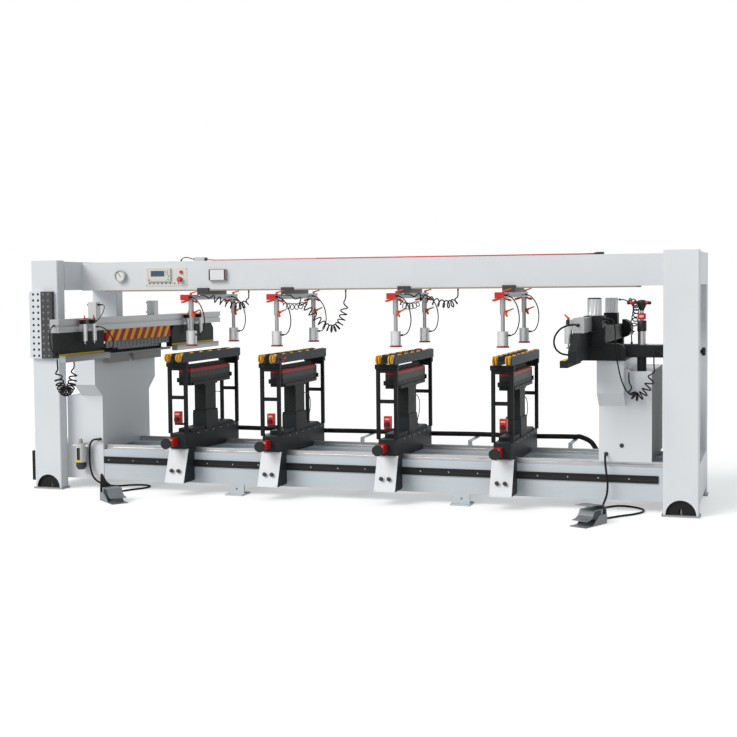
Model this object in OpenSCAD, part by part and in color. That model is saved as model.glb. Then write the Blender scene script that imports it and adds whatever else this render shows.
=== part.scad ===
// Six row line boring machine for cabinet panels.
// Two end frames carry a beam over a long bed. Four boring units slide along the bed, each under a
// press arm on the beam, and a horizontal boring head with a fence stands at either end.
// X runs along the bed, Y goes from the operator's side to the back, Z is up, in millimetres.

/* [End frames] */
// Length over the end posts
overall_l = 4820; // [4600:10:5200]
// Height of the posts
post_h = 1700; // [1660:5:1800]
// Width of a post along the machine
post_w = 224; // [200:2:240]
// Depth of a post
post_d = 100; // [90:1:104]
// Depth over the front and rear posts
portal_d = 983; // [960:1:1040]
// Wall of posts, cross beams and main beam
frame_wall = 8; // [5:1:12]
// Radius of the arch cut into the foot of a post
arch_r = 96; // [80:1:98]
// Thickness of the foot plates
foot_t = 12; // [8:1:20]
// Height of the top cross beams
cross_h = 212; // [180:2:230]
// Top edge of the lower cross members above the floor
sill_top = 330; // [310:2:350]

/* [Beam] */
// Height of the main beam
beam_h = 212; // [190:1:220]
// Depth of the main beam
beam_d = 288; // [260:2:320]
// Underside of the main beam above the floor
beam_z = 1475; // [1470:1:1480]
// Thickness of the guide strips under the beam
strip_t = 10; // [8:1:12]
// Width of a guide strip
strip_w = 33; // [28:1:40]
// Free edge of a guide strip ahead of the beam's face
strip_lip = 8; // [6:1:10]

/* [Bed] */
// Front face of the bed behind the front of the posts
bed_y = 110; // [108:1:120]
// Depth of the bed
bed_d = 640; // [620:2:660]
// Top face of the bed above the floor
bed_top = 296; // [290:1:300]
// Underside of the bed above the floor
bed_z = 75; // [60:1:90]
// Width of each longitudinal beam of the bed
bed_side = 160; // [130:2:200]
// Width of a guide rail
rail_w = 35; // [30:1:40]
// Height of a guide rail
rail_h = 34; // [30:1:38]
// Height of the rack strip on the front of the bed
rack_h = 50; // [40:1:60]
// Thickness of the rack strip
rack_t = 8; // [6:1:10]

/* [Boring units] */
// Place of the first boring unit along the bed
unit1_x = -1218; // [-1240:1:-1190]
// Place of the second boring unit
unit2_x = -501; // [-530:1:-470]
// Place of the third boring unit
unit3_x = 352; // [320:1:380]
// Place of the fourth boring unit
unit4_x = 1150; // [1120:1:1160]
// Width of a unit
unit_w = 140; // [136:1:150]
// Side of the square tubes of the support frame
tube_a = 25; // [20:1:28]
// Top of the support frame's posts above the floor
stand_top = 923; // [915:1:928]
// Top face of the roller rails above the floor
rail_top = 1018; // [1012:1:1022]
// Height of a roller rail
roller_rail_h = 62; // [56:1:70]
// Width of a roller rail
roller_rail_w = 40; // [36:1:44]
// Diameter of a support roller
roller_d = 36; // [30:1:40]
// Rollers on each rail
rollers = 7; // [4:1:9]
// Spindles in one row
spindles = 21; // [11:1:21]
// Distance between spindles
pitch = 32; // [30:0.5:32]
// Height of the spindle housing
gearbox_h = 120; // [100:1:140]
// Width of the spindle housing
gearbox_w = 94; // [80:1:100]
// Diameter of a spindle nose
chuck_d = 18; // [14:1:20]
// Height of a spindle nose
chuck_h = 28; // [20:1:34]
// Lift of the spindle housing
head_lift = 50; // [40:1:52]
// Diameter of the guide posts of the lift
guide_d = 30; // [20:1:34]

/* [Press arms] */
// Place of the first press arm along the beam
arm1_x = -1166; // [-1190:1:-1140]
// Place of the second press arm
arm2_x = -501; // [-530:1:-470]
// Place of the third press arm
arm3_x = 378; // [350:1:400]
// Place of the fourth press arm
arm4_x = 1126; // [1100:1:1150]
// Length of a press arm
arm_l = 838; // [800:2:860]
// Width of a press arm
arm_w = 50; // [44:1:56]
// Height of a press arm
arm_h = 37; // [32:1:40]
// Diameter of a press cylinder
press_d = 74; // [64:1:80]
// Height of a press cylinder
press_h = 96; // [86:1:104]
// Diameter of a press pad
pad_d = 86; // [70:1:92]
// Thickness of a press pad
pad_t = 10; // [8:1:14]
// Underside of the raised pads above the floor
pad_z = 1068; // [1066:1:1076]
// Diameter of a press rod
rod_d = 20; // [16:1:24]

/* [End heads and fences] */
// Right side of the left column
left_col_x = -1890; // [-1900:1:-1880]
// Left side of the right column
right_col_x = 1767; // [1755:1:1775]
// Width of the right column
right_col_w = 341; // [330:1:350]
// Width of the upper part of the columns
col_top_w = 172; // [160:1:180]
// Sheet thickness of the columns
sheet_t = 4; // [2:0.5:8]
// Top of the columns above the floor
col_top = 995; // [985:1:1000]
// Length of the fences across the machine
fence_l = 2670; // [2500:10:2800]
// Reach of the fences ahead of the posts
fence_front = 560; // [520:2:600]
// Height of the fence extrusion
fence_h = 93; // [80:1:100]
// Underside of the fence extrusion above the floor
fence_z = 1185; // [1180:1:1190]
// Distance from the middle of the machine to the left fence face
left_fence_x = 1840; // [1830:1:1846]
// Distance from the middle of the machine to the right fence face
right_fence_x = 1620; // [1614:1:1630]
// Height of the horizontal spindles above the floor
side_spindle_z = 1039; // [1037:1:1042]
// Length of a fence clamp cylinder
clamp_h = 120; // [100:1:140]
// Diameter of a fence clamp cylinder
clamp_d = 34; // [28:1:36]

/* [Controls] */
// Width of the control panel
panel_w = 340; // [300:2:360]
// Height of the control panel
panel_h = 138; // [120:1:160]
// Diameter of the emergency stop head
stop_d = 40; // [32:1:44]
// Diameter of the pressure gauge
gauge_d = 90; // [70:1:100]
// Width of the perforated plate
rack_plate_w = 192; // [180:2:210]
// Height of the perforated plate
rack_plate_h = 495; // [480:5:510]
// Diameter of a hole in the perforated plate
rack_hole_d = 19; // [14:1:22]
// Width of a foot pedal
pedal_w = 110; // [90:2:130]
// Length of a foot pedal
pedal_l = 240; // [220:2:260]

/* [Hoses] */
// Diameter of the coiled air hoses
coil_hose_d = 8; // [6:0.5:9]
// Diameter of a coil at the middle of its hose
coil_d = 40; // [34:1:46]
// Diameter of the hoses to the pedals
pedal_hose_d = 12; // [10:0.5:14]
// Diameter of the conduit behind the bed
conduit_d = 36; // [30:1:40]

/* [Hidden] */
$fn = 48;
UNIT_NODES = ["carriage", "front_panel", "support_frame", "drill_head", "handwheel", "press_arm",
              "press_rods"];

// Clearances: between sliding flat faces, and of a shaft in its bore on the radius
slide_gap = 0.3;
bore_gap = 0.05;
// Hairline joint between bolted pieces
seam = 0.05;

// Place of the posts' front plane, so that the fences are centred on the origin
front_y = fence_front - fence_l / 2;
half_l = overall_l / 2;
inner_x = half_l - post_w;
beam_y = (portal_d - beam_d) / 2;
beam_top = beam_z + beam_h;
strip_z = beam_z - strip_t;
bed_back = bed_y + bed_d;
rail_y = [bed_y + 45, bed_back - 45];
guide_top = bed_top + rail_h;
unit_x = [unit1_x, unit2_x, unit3_x, unit4_x];
arm_x = [arm1_x, arm2_x, arm3_x, arm4_x];

// Boring unit: stations across the machine and heights above the floor
cast_front = -15;
cast_back = 931;
cast_nose_z = 334;
cast_nose_top = 372;
cast_top = 444;
cast_floor = bed_top + 7;
panel_foot = [-87, 97];
panel_head = 1;
base_y = [350, 560];
base_top = 558;
gearbox_l = spindles * pitch + 23;
gearbox_y = (base_y[0] + base_y[1]) / 2 + 5 - gearbox_l / 2;
gearbox_z = 780;
gearbox_top = gearbox_z + gearbox_h;
guide_y = [base_y[0] + 45, base_y[1] - 45];
guide_top_z = base_top + head_lift + 110;
stand_y = [cast_front + tube_a / 2, cast_back - 25 - tube_a / 2];
stand_x = (unit_w - tube_a) / 2;
roller_rail_y = [-125, 948];
roller_rail_x = (unit_w - roller_rail_w) / 2 + 5;
axle_d = 8;

// Press arm: stations across the machine and heights above the floor
arm_y = portal_d / 2 - arm_l / 2;
arm_top = strip_z - 27;
arm_z = arm_top - arm_h;
stem_y = [arm_y + 58, arm_y + arm_l - 30];
press_top = pad_z + pad_t + 3 + press_h;
press_z = press_top - press_h;
rod_reach = 48;
stem_z = 1290;

// Columns and fences
col_front = 105;
col_back = 840;
col_over = 105;
chamfer_z = [694, 783];
fence_back = fence_l - fence_front;
fence_top = fence_z + fence_h;
guard_y = [80, 1115];
guard_z = 1100;
plate_z = 1010;
housing_t = 50;
head_l = gearbox_l;
side_head_y = (guard_y[0] + guard_y[1]) / 2 - head_l / 2;
side_head_h = 66;
side_head_w = 90;
side_spindle_l = 62;
side_stand = 64;
apron_z = side_spindle_z + chuck_d / 2 + 2;

// Draws its children in the machine frame, whose Y starts at the front of the posts
module in_frame() { translate([0, front_y, 0]) children(); }

// Draws its children at both ends of the machine, mirrored about the middle
module both_ends() {
    children();
    mirror([1, 0, 0]) children();
}

// Outline of a box section with round corners, centred in X and starting at Y 0
module section_outline(w, d, r) {
    translate([-w / 2 + r, 0]) square([w - 2 * r, d]);
    translate([-w / 2, r]) square([w, d - 2 * r]);
    for (x = [-w / 2 + r, w / 2 - r]) for (y = [r, d - r]) translate([x, y]) circle(r);
}

// Block centred on X, given its width and its ranges in Y and Z
module block(w, y, z) { translate([-w / 2, y[0], z[0]]) cube([w, y[1] - y[0], z[1] - z[0]]); }

// Outline in the YZ plane carried along X, centred on X 0
module across(w) { translate([-w / 2, 0, 0]) rotate([90, 0, 90]) linear_extrude(w) children(); }

// Upright cylinder between two heights
module upright(d, z) { translate([0, 0, z[0]]) cylinder(d = d, h = z[1] - z[0]); }

// Cylinder along Y between two stations
module along_y(d, y) { translate([0, y[0], 0]) rotate([-90, 0, 0]) cylinder(d = d, h = y[1] - y[0]); }

// Cylinder along X between two stations
module along_x(d, x) { translate([x[0], 0, 0]) rotate([0, 90, 0]) cylinder(d = d, h = x[1] - x[0]); }

// Hand knob turned about Y: a shank, a rim with flutes and a domed face towards the operator
module hand_knob(d, t) {
    rotate([90, 0, 0]) difference() {
        rotate_extrude() polygon([[0, 0], [d * 0.22, 0], [d * 0.22, t * 0.3], [d * 0.46, t * 0.4],
                                  [d / 2, t * 0.5], [d / 2, t * 0.85], [d * 0.42, t], [0, t]]);
        for (a = [0:45:315]) rotate(a) translate([d * 0.56, 0, t * 0.3]) cylinder(d = d * 0.2, h = t);
    }
}

// Clamping lever: a hub on a vertical axis with a handle that rises away from it
module wing_lever(l) {
    cylinder(d = 16, h = 16);
    rotate([90, 0, 0]) translate([0, 0, -4]) linear_extrude(8)
        polygon([[0, 4], [l, l * 0.45], [l + 4, l * 0.45 + 9], [0, 16]]);
}

// Route of a hose carried as a tube with flat ends: a ring of points at each station, turned with the route
function unit_vec(v) = v / norm(v);
function route_dir(p) = [for (i = [0:len(p) - 1]) unit_vec(p[min(i + 1, len(p) - 1)] - p[max(i - 1, 0)])];
function side_of(t) = unit_vec(abs(t[2]) < 0.9 ? cross(t, [0, 0, 1]) : cross(t, [1, 0, 0]));
function carried(t) = [for (i = 0, u = side_of(t[0]); i < len(t); i = i + 1,
                            u = i < len(t) ? unit_vec(u - (u * t[i]) * t[i]) : u) u];
module tube(route, d, sides) {
    dirs = route_dir(route);
    sideways = carried(dirs);
    rings = len(route);
    points = [for (i = [0:rings - 1]) for (j = [0:sides - 1]) let (a = 360 * j / sides)
        route[i] + d / 2 * (cos(a) * sideways[i] + sin(a) * cross(dirs[i], sideways[i]))];
    walls = [for (i = [0:rings - 2]) for (j = [0:sides - 1]) let (a = i * sides + j,
        b = i * sides + (j + 1) % sides) each [[a, a + sides, b], [b, a + sides, b + sides]]];
    caps = [for (j = [1:sides - 2]) each [[0, j, j + 1],
        [(rings - 1) * sides, (rings - 1) * sides + j + 1, (rings - 1) * sides + j]]];
    polyhedron(points, concat(walls, caps));
}

// Smooth route through chosen points, with a few steps between each pair
function knot(p, i) = p[max(0, min(len(p) - 1, i))];
function between(a, b, c, d, t) = 0.5 * ((2 * b) + (c - a) * t + (2 * a - 5 * b + 4 * c - d) * t * t
    + (3 * b - a - 3 * c + d) * t * t * t);
function smooth(p, steps) = concat([for (i = [0:len(p) - 2]) for (s = [0:steps - 1])
    between(knot(p, i - 1), p[i], p[i + 1], knot(p, i + 2), s / steps)], [p[len(p) - 1]]);

// Route whose first and last stretches are straight, as a hose leaves its fittings
function led(p, steps) = concat([p[0]], smooth([for (i = [1:len(p) - 2]) p[i]], steps), [p[len(p) - 1]]);

// Curled route: a helix round a guide line from one fitting to another, drawn in at both ends
function sag_line(a, b, sag) = function (t) a + (b - a) * t - [0, 0, 4 * sag * t * (1 - t)];
function loop_line(a, b, sag) =
    function (t) a + (b - a) * (1 - cos(180 * t)) / 2 - [0, 0, sag * sin(180 * t)];
function draw_in(turns, t) = min(1, t * turns, (1 - t) * turns);
function curl_point(guide, across_dir, turns, t) =
    let (dir = unit_vec(guide(t + 0.002) - guide(t - 0.002)), w = cross(dir, across_dir),
         r = coil_d / 2 * sin(90 * draw_in(turns, t)), q = 360 * turns * t)
    guide(t) + r * (cos(q) * across_dir + sin(q) * w);
function curls(guide, turns) =
    let (across_dir = unit_vec(cross(guide(1) - guide(0), [0, 0, 1])))
    [for (i = [0:turns * 8]) curl_point(guide, across_dir, turns, i / (turns * 8))];
function sagging(a, out_a, b, out_b, sag, turns) = concat([a, a + coil_hose_d * out_a],
    curls(sag_line(a + 2 * coil_hose_d * out_a, b + 2 * coil_hose_d * out_b, sag), turns),
    [b + coil_hose_d * out_b, b]);
function looped(a, b, sag, turns) =
    let (down = [0, 0, -coil_hose_d])
    concat([a, a + down], curls(loop_line(a + 2 * down, b + 2 * down, sag), turns), [b + down, b]);
function least_gap(p, d) =
    min([for (i = [0:len(p) - 6]) for (j = [i + 5:len(p) - 1]) norm(p[i] - p[j])]) - d;

// End frames: front and rear posts with arched feet, top cross beams, lower cross members
module post_tube(arch_side) {
    difference() {
        translate([0, 0, foot_t]) linear_extrude(post_h - foot_t) section_outline(post_w, post_d, 10);
        translate([0, frame_wall, 0]) linear_extrude(post_h - frame_wall)
            section_outline(post_w - 2 * frame_wall, post_d - 2 * frame_wall, 4);
        translate([0, arch_side < 0 ? 0 : post_d - frame_wall, foot_t])
            along_y(2 * arch_r, [-1, frame_wall + 1]);
    }
    difference() {
        block(post_w - 2 * frame_wall, [frame_wall, post_d - frame_wall],
              [arch_r + 30, arch_r + 30 + frame_wall]);
        translate([0, post_d / 2, 0]) upright(26, [0, post_h]);
    }
}

module end_frame() {
    post_x = half_l - post_w / 2;
    translate([post_x, 0, 0]) post_tube(-1);
    translate([post_x, portal_d - post_d, 0]) post_tube(1);
    translate([post_x, post_d, post_h - frame_wall - cross_h]) difference() {
        block(post_w, [seam, portal_d - 2 * post_d - seam], [0, cross_h]);
        block(post_w - 2 * frame_wall, [frame_wall, portal_d - 2 * post_d - frame_wall],
              [frame_wall, cross_h - frame_wall]);
    }
    translate([post_x, post_d, 0]) difference() {
        block(post_w, [seam, portal_d - 2 * post_d - seam], [bed_z, sill_top]);
        block(post_w - 2 * frame_wall, [frame_wall, portal_d - 2 * post_d - frame_wall],
              [bed_z + frame_wall, sill_top - frame_wall]);
    }
}

module end_frames() {
    color("whitesmoke") in_frame() both_ends() end_frame();
    color([0.1, 0.1, 0.11]) in_frame() translate([-half_l - 15 - seam / 2, 0, 0])
        block(30 - seam, [40, 70], [62, 282]);
}

// Main beam: a box section between the cross beams, with a small junction box on top
module main_beam() {
    color("whitesmoke") in_frame() {
        difference() {
            block(2 * inner_x, [beam_y, beam_y + beam_d], [beam_z, beam_top]);
            block(2 * inner_x - 2 * frame_wall, [beam_y + frame_wall, beam_y + beam_d - frame_wall],
                  [beam_z + frame_wall, beam_top - frame_wall]);
        }
        translate([-1255, 0, 0])
            block(80, [portal_d / 2 - 30, portal_d / 2 + 30], [beam_top + seam, beam_top + 30]);
        for (x = outlet_x) translate([x, outlet_y, 0]) upright(12, [outlet_z, beam_z - seam]);
        translate([1712, 0, 0])
            block(50, [portal_d / 2 + 80, portal_d / 2 + 120], [beam_top + seam, beam_top + 22]);
    }
}

// Levelling feet: a plate under each post with a stud and nuts, and four bolted soles under the bed
module post_foot() {
    block(post_w + 16, [-8, post_d + 8], [0, foot_t]);
    translate([0, post_d / 2, 0]) {
        upright(24, [foot_t, arch_r + 70]);
        upright(44, [arch_r + 10, arch_r + 30]);
    }
}

module levelling_feet() {
    color("silver") in_frame() both_ends() for (y = [0, portal_d - post_d])
        translate([half_l - post_w / 2, y, 0]) post_foot();
}

// Bed: two longitudinal box beams tied by cross members, on four feet with soles
bed_feet_x = [-820, 840];
bed_foot_w = 116;
saddle_x = [-860, -75, 750, 1480];
conduit_z = 380;
saddle_z = conduit_z - conduit_d / 2 - 0.2;
module bed_foot() {
    difference() {
        block(bed_foot_w, [bed_y, bed_y + 14], [10, bed_z - seam]);
        translate([0, 0, 42]) along_y(16, [bed_y - 1, bed_y + 15]);
    }
    block(bed_foot_w + 20, [bed_y - 60, bed_y + 90], [0, 10]);
    across(12) polygon([[bed_y + 14, 10], [bed_y + 90, 10], [bed_y + 120, bed_z - seam],
                         [bed_y + 14, bed_z - seam]]);
}

module bed() {
    color([0.82, 0.85, 0.88]) in_frame() {
        for (y = [bed_y, bed_back - bed_side]) difference() {
            block(2 * inner_x, [y, y + bed_side], [bed_z, bed_top]);
            block(2 * inner_x - 2 * frame_wall, [y + frame_wall, y + bed_side - frame_wall],
                  [bed_z + frame_wall, bed_top - frame_wall]);
        }
        for (x = [-1600:800:1600]) translate([x, 0, 0])
            block(120, [bed_y + bed_side + seam, bed_back - bed_side - seam], [bed_z, bed_top - 90]);
        for (x = saddle_x) translate([x, 0, 0]) {
            block(30, [bed_back + seam, bed_back + 8], [bed_top - 80, saddle_z]);
            block(30, [bed_back + seam, bed_back + 255], [saddle_z - 8, saddle_z]);
        }
        for (x = bed_feet_x) translate([x, 0, 0]) {
            bed_foot();
            translate([0, 2 * bed_y + bed_d, 0]) mirror([0, 1, 0]) bed_foot();
        }
    }
}

// Guide rails: two on the bed for the boring units, two under the beam for the press arms
module guide_rails() {
    rail_left = left_col_x + 5;
    rail_right = inner_x - 10;
    color("silver") in_frame() {
        for (y = rail_y) translate([(rail_left + rail_right) / 2, 0, 0]) difference() {
            block(rail_right - rail_left, [y - rail_w / 2, y + rail_w / 2], [bed_top, guide_top]);
            for (s = [-1, 1]) translate([0, y + s * rail_w / 2, bed_top + rail_h * 0.45])
                along_x(8, [rail_left - rail_right, rail_right - rail_left]);
        }
        for (y = [beam_y - strip_lip, beam_y + beam_d + strip_lip - strip_w])
            block(3970, [y, y + strip_w], [strip_z, beam_z]);
    }
}

// Rack strip along the front of the bed, in two lengths, with its screw holes
module rack_strip() {
    strip_left = left_col_x + 4;
    strip_mid = 1320;
    strip_right = inner_x - 36;
    color([0.17, 0.17, 0.18]) in_frame() for (x = [[strip_left, strip_mid], [strip_mid + 2, strip_right]])
        difference() {
            translate([(x[0] + x[1]) / 2, 0, 0])
                block(x[1] - x[0], [bed_y - rack_t, bed_y], [193, 193 + rack_h]);
            for (s = [x[0] + 40:200:x[1] - 10]) translate([s, 0, 193 + rack_h / 2])
                along_y(10, [bed_y - rack_t - 1, bed_y - rack_t + 4]);
        }
}

// Control panel on the beam: plate, display housing with its window, round keys, push button, side switch box
panel_x = -1472;
panel_z = beam_z + 30;
stop_x = -1350;
stop_z = beam_z + 77;
plate_t = 4;
module control_panel() {
    plate_y = beam_y - plate_t;
    color([0.88, 0.88, 0.86]) in_frame() translate([panel_x, 0, 0]) {
        difference() {
            block(panel_w, [plate_y, beam_y], [panel_z, panel_z + panel_h]);
            translate([stop_x - panel_x, 0, stop_z]) along_y(22, [plate_y - 1, beam_y + 1]);
        }
        translate([-52, 0, 0]) difference() {
            block(190, [plate_y - 14, plate_y], [panel_z + 32, panel_z + 130]);
            translate([-10, 0, 0]) block(112, [plate_y - 15, plate_y - 11], [panel_z + 70, panel_z + 112]);
        }
        for (k = [0:7]) translate([-135 + k * 34, 0, panel_z + 19]) along_y(10, [plate_y - 4, plate_y]);
        translate([127, 0, panel_z + 102]) along_y(24, [plate_y - 12, plate_y]);
    }
    color("white") in_frame() translate([-1047, 0, 0]) difference() {
        block(134, [beam_y - 26, beam_y], [beam_z + 65, beam_z + 149]);
        for (s = [-1, 1]) translate([s * 60, 0, 0])
            block(8, [beam_y - 27, beam_y - 18], [beam_z + 71, beam_z + 143]);
    }
    color("silver") in_frame() translate([stop_x, 0, stop_z]) difference() {
        along_y(34, [plate_y - 10, plate_y]);
        along_y(22, [plate_y - 11, plate_y + 1]);
    }
}

// Emergency stop: a mushroom head on a plunger that passes through the panel
module emergency_stop() {
    seat = beam_y - plate_t - 10;
    color("red") in_frame() translate([stop_x, seat, stop_z]) rotate([90, 0, 0]) rotate_extrude()
        polygon([[0, -6], [11 - 0.1, -6], [11 - 0.1, 8], [stop_d / 2 - 3, 8], [stop_d / 2, 12],
                 [stop_d / 2, 18], [stop_d * 0.36, 23], [0, 25]]);
}

// Pressure gauge on the beam: case, bezel and recessed dial with a needle
module pressure_gauge() {
    color("gainsboro") in_frame() translate([-1846, beam_y, beam_z + 108]) rotate([90, 0, 0]) {
        rotate_extrude() polygon([[0, 0], [gauge_d / 2 - 4, 0], [gauge_d / 2 - 4, 14], [gauge_d / 2, 14],
                                  [gauge_d / 2, 30], [gauge_d / 2 - 8, 30], [gauge_d / 2 - 8, 24], [0, 24]]);
        rotate(35) translate([-2, -10, 24]) cube([4, gauge_d / 2, 2]);
    }
}

// Perforated plate on the left post: a folded sheet with rows of holes, open towards the post
rack_rows = 11;
rack_cols = 4;
module perforated_plate() {
    rack_x = -half_l + rack_plate_w / 2;
    rack_z = 976;
    rack_mid = rack_z + rack_plate_h / 2;
    stand_off = 30;
    color("whitesmoke") in_frame() translate([rack_x, 0, 0]) {
        difference() {
            block(rack_plate_w, [-stand_off, 0], [rack_z, rack_z + rack_plate_h]);
            block(rack_plate_w - 6, [-stand_off + 3, 1], [rack_z + 3, rack_z + rack_plate_h - 3]);
            for (c = [0:rack_cols - 1]) for (r = [0:rack_rows - 1])
                translate([(c - (rack_cols - 1) / 2) * 41.5, 0, rack_mid + (r - (rack_rows - 1) / 2) * 45.5])
                    along_y(rack_hole_d, [-stand_off - 1, -stand_off + 4]);
        }
    }
}

// Air filter on the left column: bracket, body with sight window, bowl, regulator knob, side fittings, and
// the elbow on the column that feeds the pedal hose
filter_x = -2046;
filter_y = col_front - 55;
elbow = [-1912, col_front - 25, 372];
module air_filter() {
    color("silver") in_frame() {
        translate([filter_x, 0, 0]) block(50, [filter_y + 20, col_front], [300, 335]);
        translate([filter_x, filter_y, 0]) {
            difference() {
                upright(84, [205, 345]);
                block(22, [-50, -34], [225, 310]);
            }
            rotate_extrude() polygon([[0, 150], [24, 150], [38, 170], [38, 205], [0, 205]]);
            rotate_extrude() polygon([[0, 345], [14, 345], [14, 360], [10, 378], [0, 378]]);
            translate([0, 0, 325]) along_x(24, [-62, -40]);
            translate([0, 0, 325]) along_x(24, [40, 62]);
        }
        translate(elbow) {
            along_y(20, [-10, 25 - seam]);
            along_x(18, [-14, 0]);
        }
    }
}

// Column in sheet metal: a box below, and above a chamfer a head that overhangs at front and back
module column_head(x, w) {
    translate([x, 0, 0]) difference() {
        across(w) head_outline();
        across(w - 2 * sheet_t) offset(delta = -sheet_t) head_outline();
    }
}

module head_outline() {
    polygon([[col_front, chamfer_z[0]], [col_back, chamfer_z[0]], [col_back + col_over, chamfer_z[1]],
             [col_back + col_over, col_top], [col_front - col_over, col_top],
             [col_front - col_over, chamfer_z[1]]]);
}

module sheet_box(x, y, z) {
    translate([(x[0] + x[1]) / 2, 0, 0]) difference() {
        block(x[1] - x[0], y, z);
        block(x[1] - x[0] - 2 * sheet_t, [y[0] + sheet_t, y[1] - sheet_t], [z[0] + sheet_t, z[1] - sheet_t]);
    }
}

// Left column between the post and the bed's rails, with its front skirt over the bed
module left_column() {
    color("whitesmoke") in_frame() {
        column_head(left_col_x - col_top_w / 2, col_top_w);
        sheet_box([-inner_x, left_col_x], [col_front, col_back], [bed_top, chamfer_z[0] - seam]);
        translate([(left_col_x - inner_x) / 2, 0, 0])
            block(inner_x + left_col_x, [col_front, bed_y], [bed_z, bed_top - seam]);
    }
}

// Fence clamps: places along the left and right fence, and their stand off from the face
left_clamp_y = [-270, -140, 1400, 1630];
right_clamp_y = -350;
clamp_stand = 16;

// Fence extrusion along Y with a groove in its face, given the side its face looks to
module fence_bar(side, face) {
    translate([side * face, 0, 0]) difference() {
        translate([side * 35, 0, 0]) block(70, [-fence_front, fence_back], [fence_z, fence_top]);
        translate([side * 6, 0, 0])
            block(12.2, [-fence_front - 1, fence_back + 1], [fence_z + 40, fence_z + 54]);
    }
}

// Fence clamp cylinder on its bracket, against the face of the extrusion
module fence_clamp(side, face) {
    translate([side * (face - clamp_stand / 2 - 4 - seam / 2), 0, 0])
        block(clamp_stand + 8 - seam, [-13, 13], [fence_z + 20, fence_z + 84]);
    translate([side * (face - clamp_stand - clamp_d / 2), 0, 0]) {
        difference() {
            upright(clamp_d, [fence_top - clamp_h - 40, fence_top - 40]);
            upright(10 + 2 * bore_gap, [fence_top - clamp_h - 41, fence_top - 60]);
        }
        upright(22, [fence_top - 40, fence_top - 10]);
        translate([0, 0, fence_top - 10]) rotate(-60) wing_lever(55);
    }
}

// Rod and foot of a fence clamp
module clamp_rod(side, face) {
    rod_top = fence_top - 64;
    body_z = fence_top - clamp_h - 40;
    translate([side * (face - clamp_stand - clamp_d / 2), 0, 0]) {
        upright(10, [body_z - 20, rod_top]);
        upright(26, [body_z - 32, body_z - 20]);
    }
}

// Compact lift cylinder standing on a fence
module lift_block(a, h) {
    difference() {
        translate([-a / 2, -a / 2, 0]) cube([a, a, h]);
        for (s = [-1, 1]) for (k = [-1, 1]) translate([s * a / 2, k * a * 0.28, 0]) upright(7, [-1, h + 1]);
    }
}

module left_fence() {
    color("silver") in_frame() {
        fence_bar(-1, left_fence_x);
        for (y = [-15, 895]) translate([-left_fence_x - 35, y, fence_top + seam]) lift_block(65, 113);
        for (y = left_clamp_y) translate([0, y, 0]) fence_clamp(-1, left_fence_x);
    }
}

// Guard side of the fence: striped guard, ribbed apron, base plate, end housings with their ledges
module fence_housing(side, face, y, chamfer) {
    translate([side * (face + housing_t / 2), 0, 0]) across(housing_t)
        polygon([[y[0], plate_z], [y[1], plate_z], [y[1], fence_z - chamfer], [y[1] - chamfer, fence_z],
                 [y[0] + chamfer, fence_z], [y[0], fence_z - chamfer]]);
    translate([side * (face - 25 - seam / 2), 0, 0]) block(50 - seam, y, [plate_z, plate_z + 14]);
}

module apron(side, face, y) {
    translate([side * (face + 5 + seam), 0, 0]) {
        block(8, y, [apron_z, guard_z + 30]);
        for (s = [y[0] + 10:20:y[1] - 10]) translate([-side * 4, s, 0]) upright(8, [apron_z, guard_z - seam]);
    }
}

module left_guard() {
    color([0.2, 0.2, 0.21]) in_frame() {
        fence_housing(-1, left_fence_x, [-fence_front, guard_y[0] - 25], 0);
        fence_housing(-1, left_fence_x, [guard_y[1] + 40, fence_back - 150], 45);
        translate([-left_fence_x - 90, 0, 0])
            block(180, [guard_y[0] - 20, guard_y[1] + 20], [col_top, plate_z]);
        for (y = [guard_y[0] + 10, guard_y[1] - 70]) translate([-left_fence_x - 110, 0, 0])
            block(80, [y, y + 60], [plate_z + seam, fence_top]);
        for (p = [left_port, left_drop]) translate([p[0], p[1], 0]) upright(12, [p[2], plate_z - seam]);
    }
    color("crimson") in_frame() translate([-left_fence_x - 12, 0, 0]) difference() {
        block(40, guard_y, [guard_z, fence_z]);
        translate([-6, 0, 0]) block(34, [guard_y[0] + 6, guard_y[1] - 6], [guard_z - 1, fence_z - 6]);
    }
    color("gray") in_frame() apron(-1, left_fence_x, [guard_y[0] + 6, guard_y[1] - 6]);
}

// Horizontal boring head: spindle housing behind the apron with a row of spindle noses
module side_head(side, face, z0) {
    translate([side * (face + side_stand + side_head_w / 2), 0, 0])
        block(side_head_w, [side_head_y, side_head_y + head_l], [z0, side_spindle_z + side_head_h / 2]);
    first = side_head_y + (head_l - (spindles - 1) * pitch) / 2;
    for (k = [0:spindles - 1]) translate([0, first + k * pitch, side_spindle_z])
        along_x(chuck_d, side < 0 ? [-face - side_stand, -face - side_stand + side_spindle_l]
                                  : [face + side_stand - side_spindle_l, face + side_stand]);
}

module left_drill_head() {
    color([0.25, 0.26, 0.28]) in_frame() side_head(-1, left_fence_x, plate_z + slide_gap);
}

module left_clamp_rods() {
    color("silver") in_frame() for (y = left_clamp_y) translate([0, y, 0]) clamp_rod(-1, left_fence_x);
}

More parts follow.
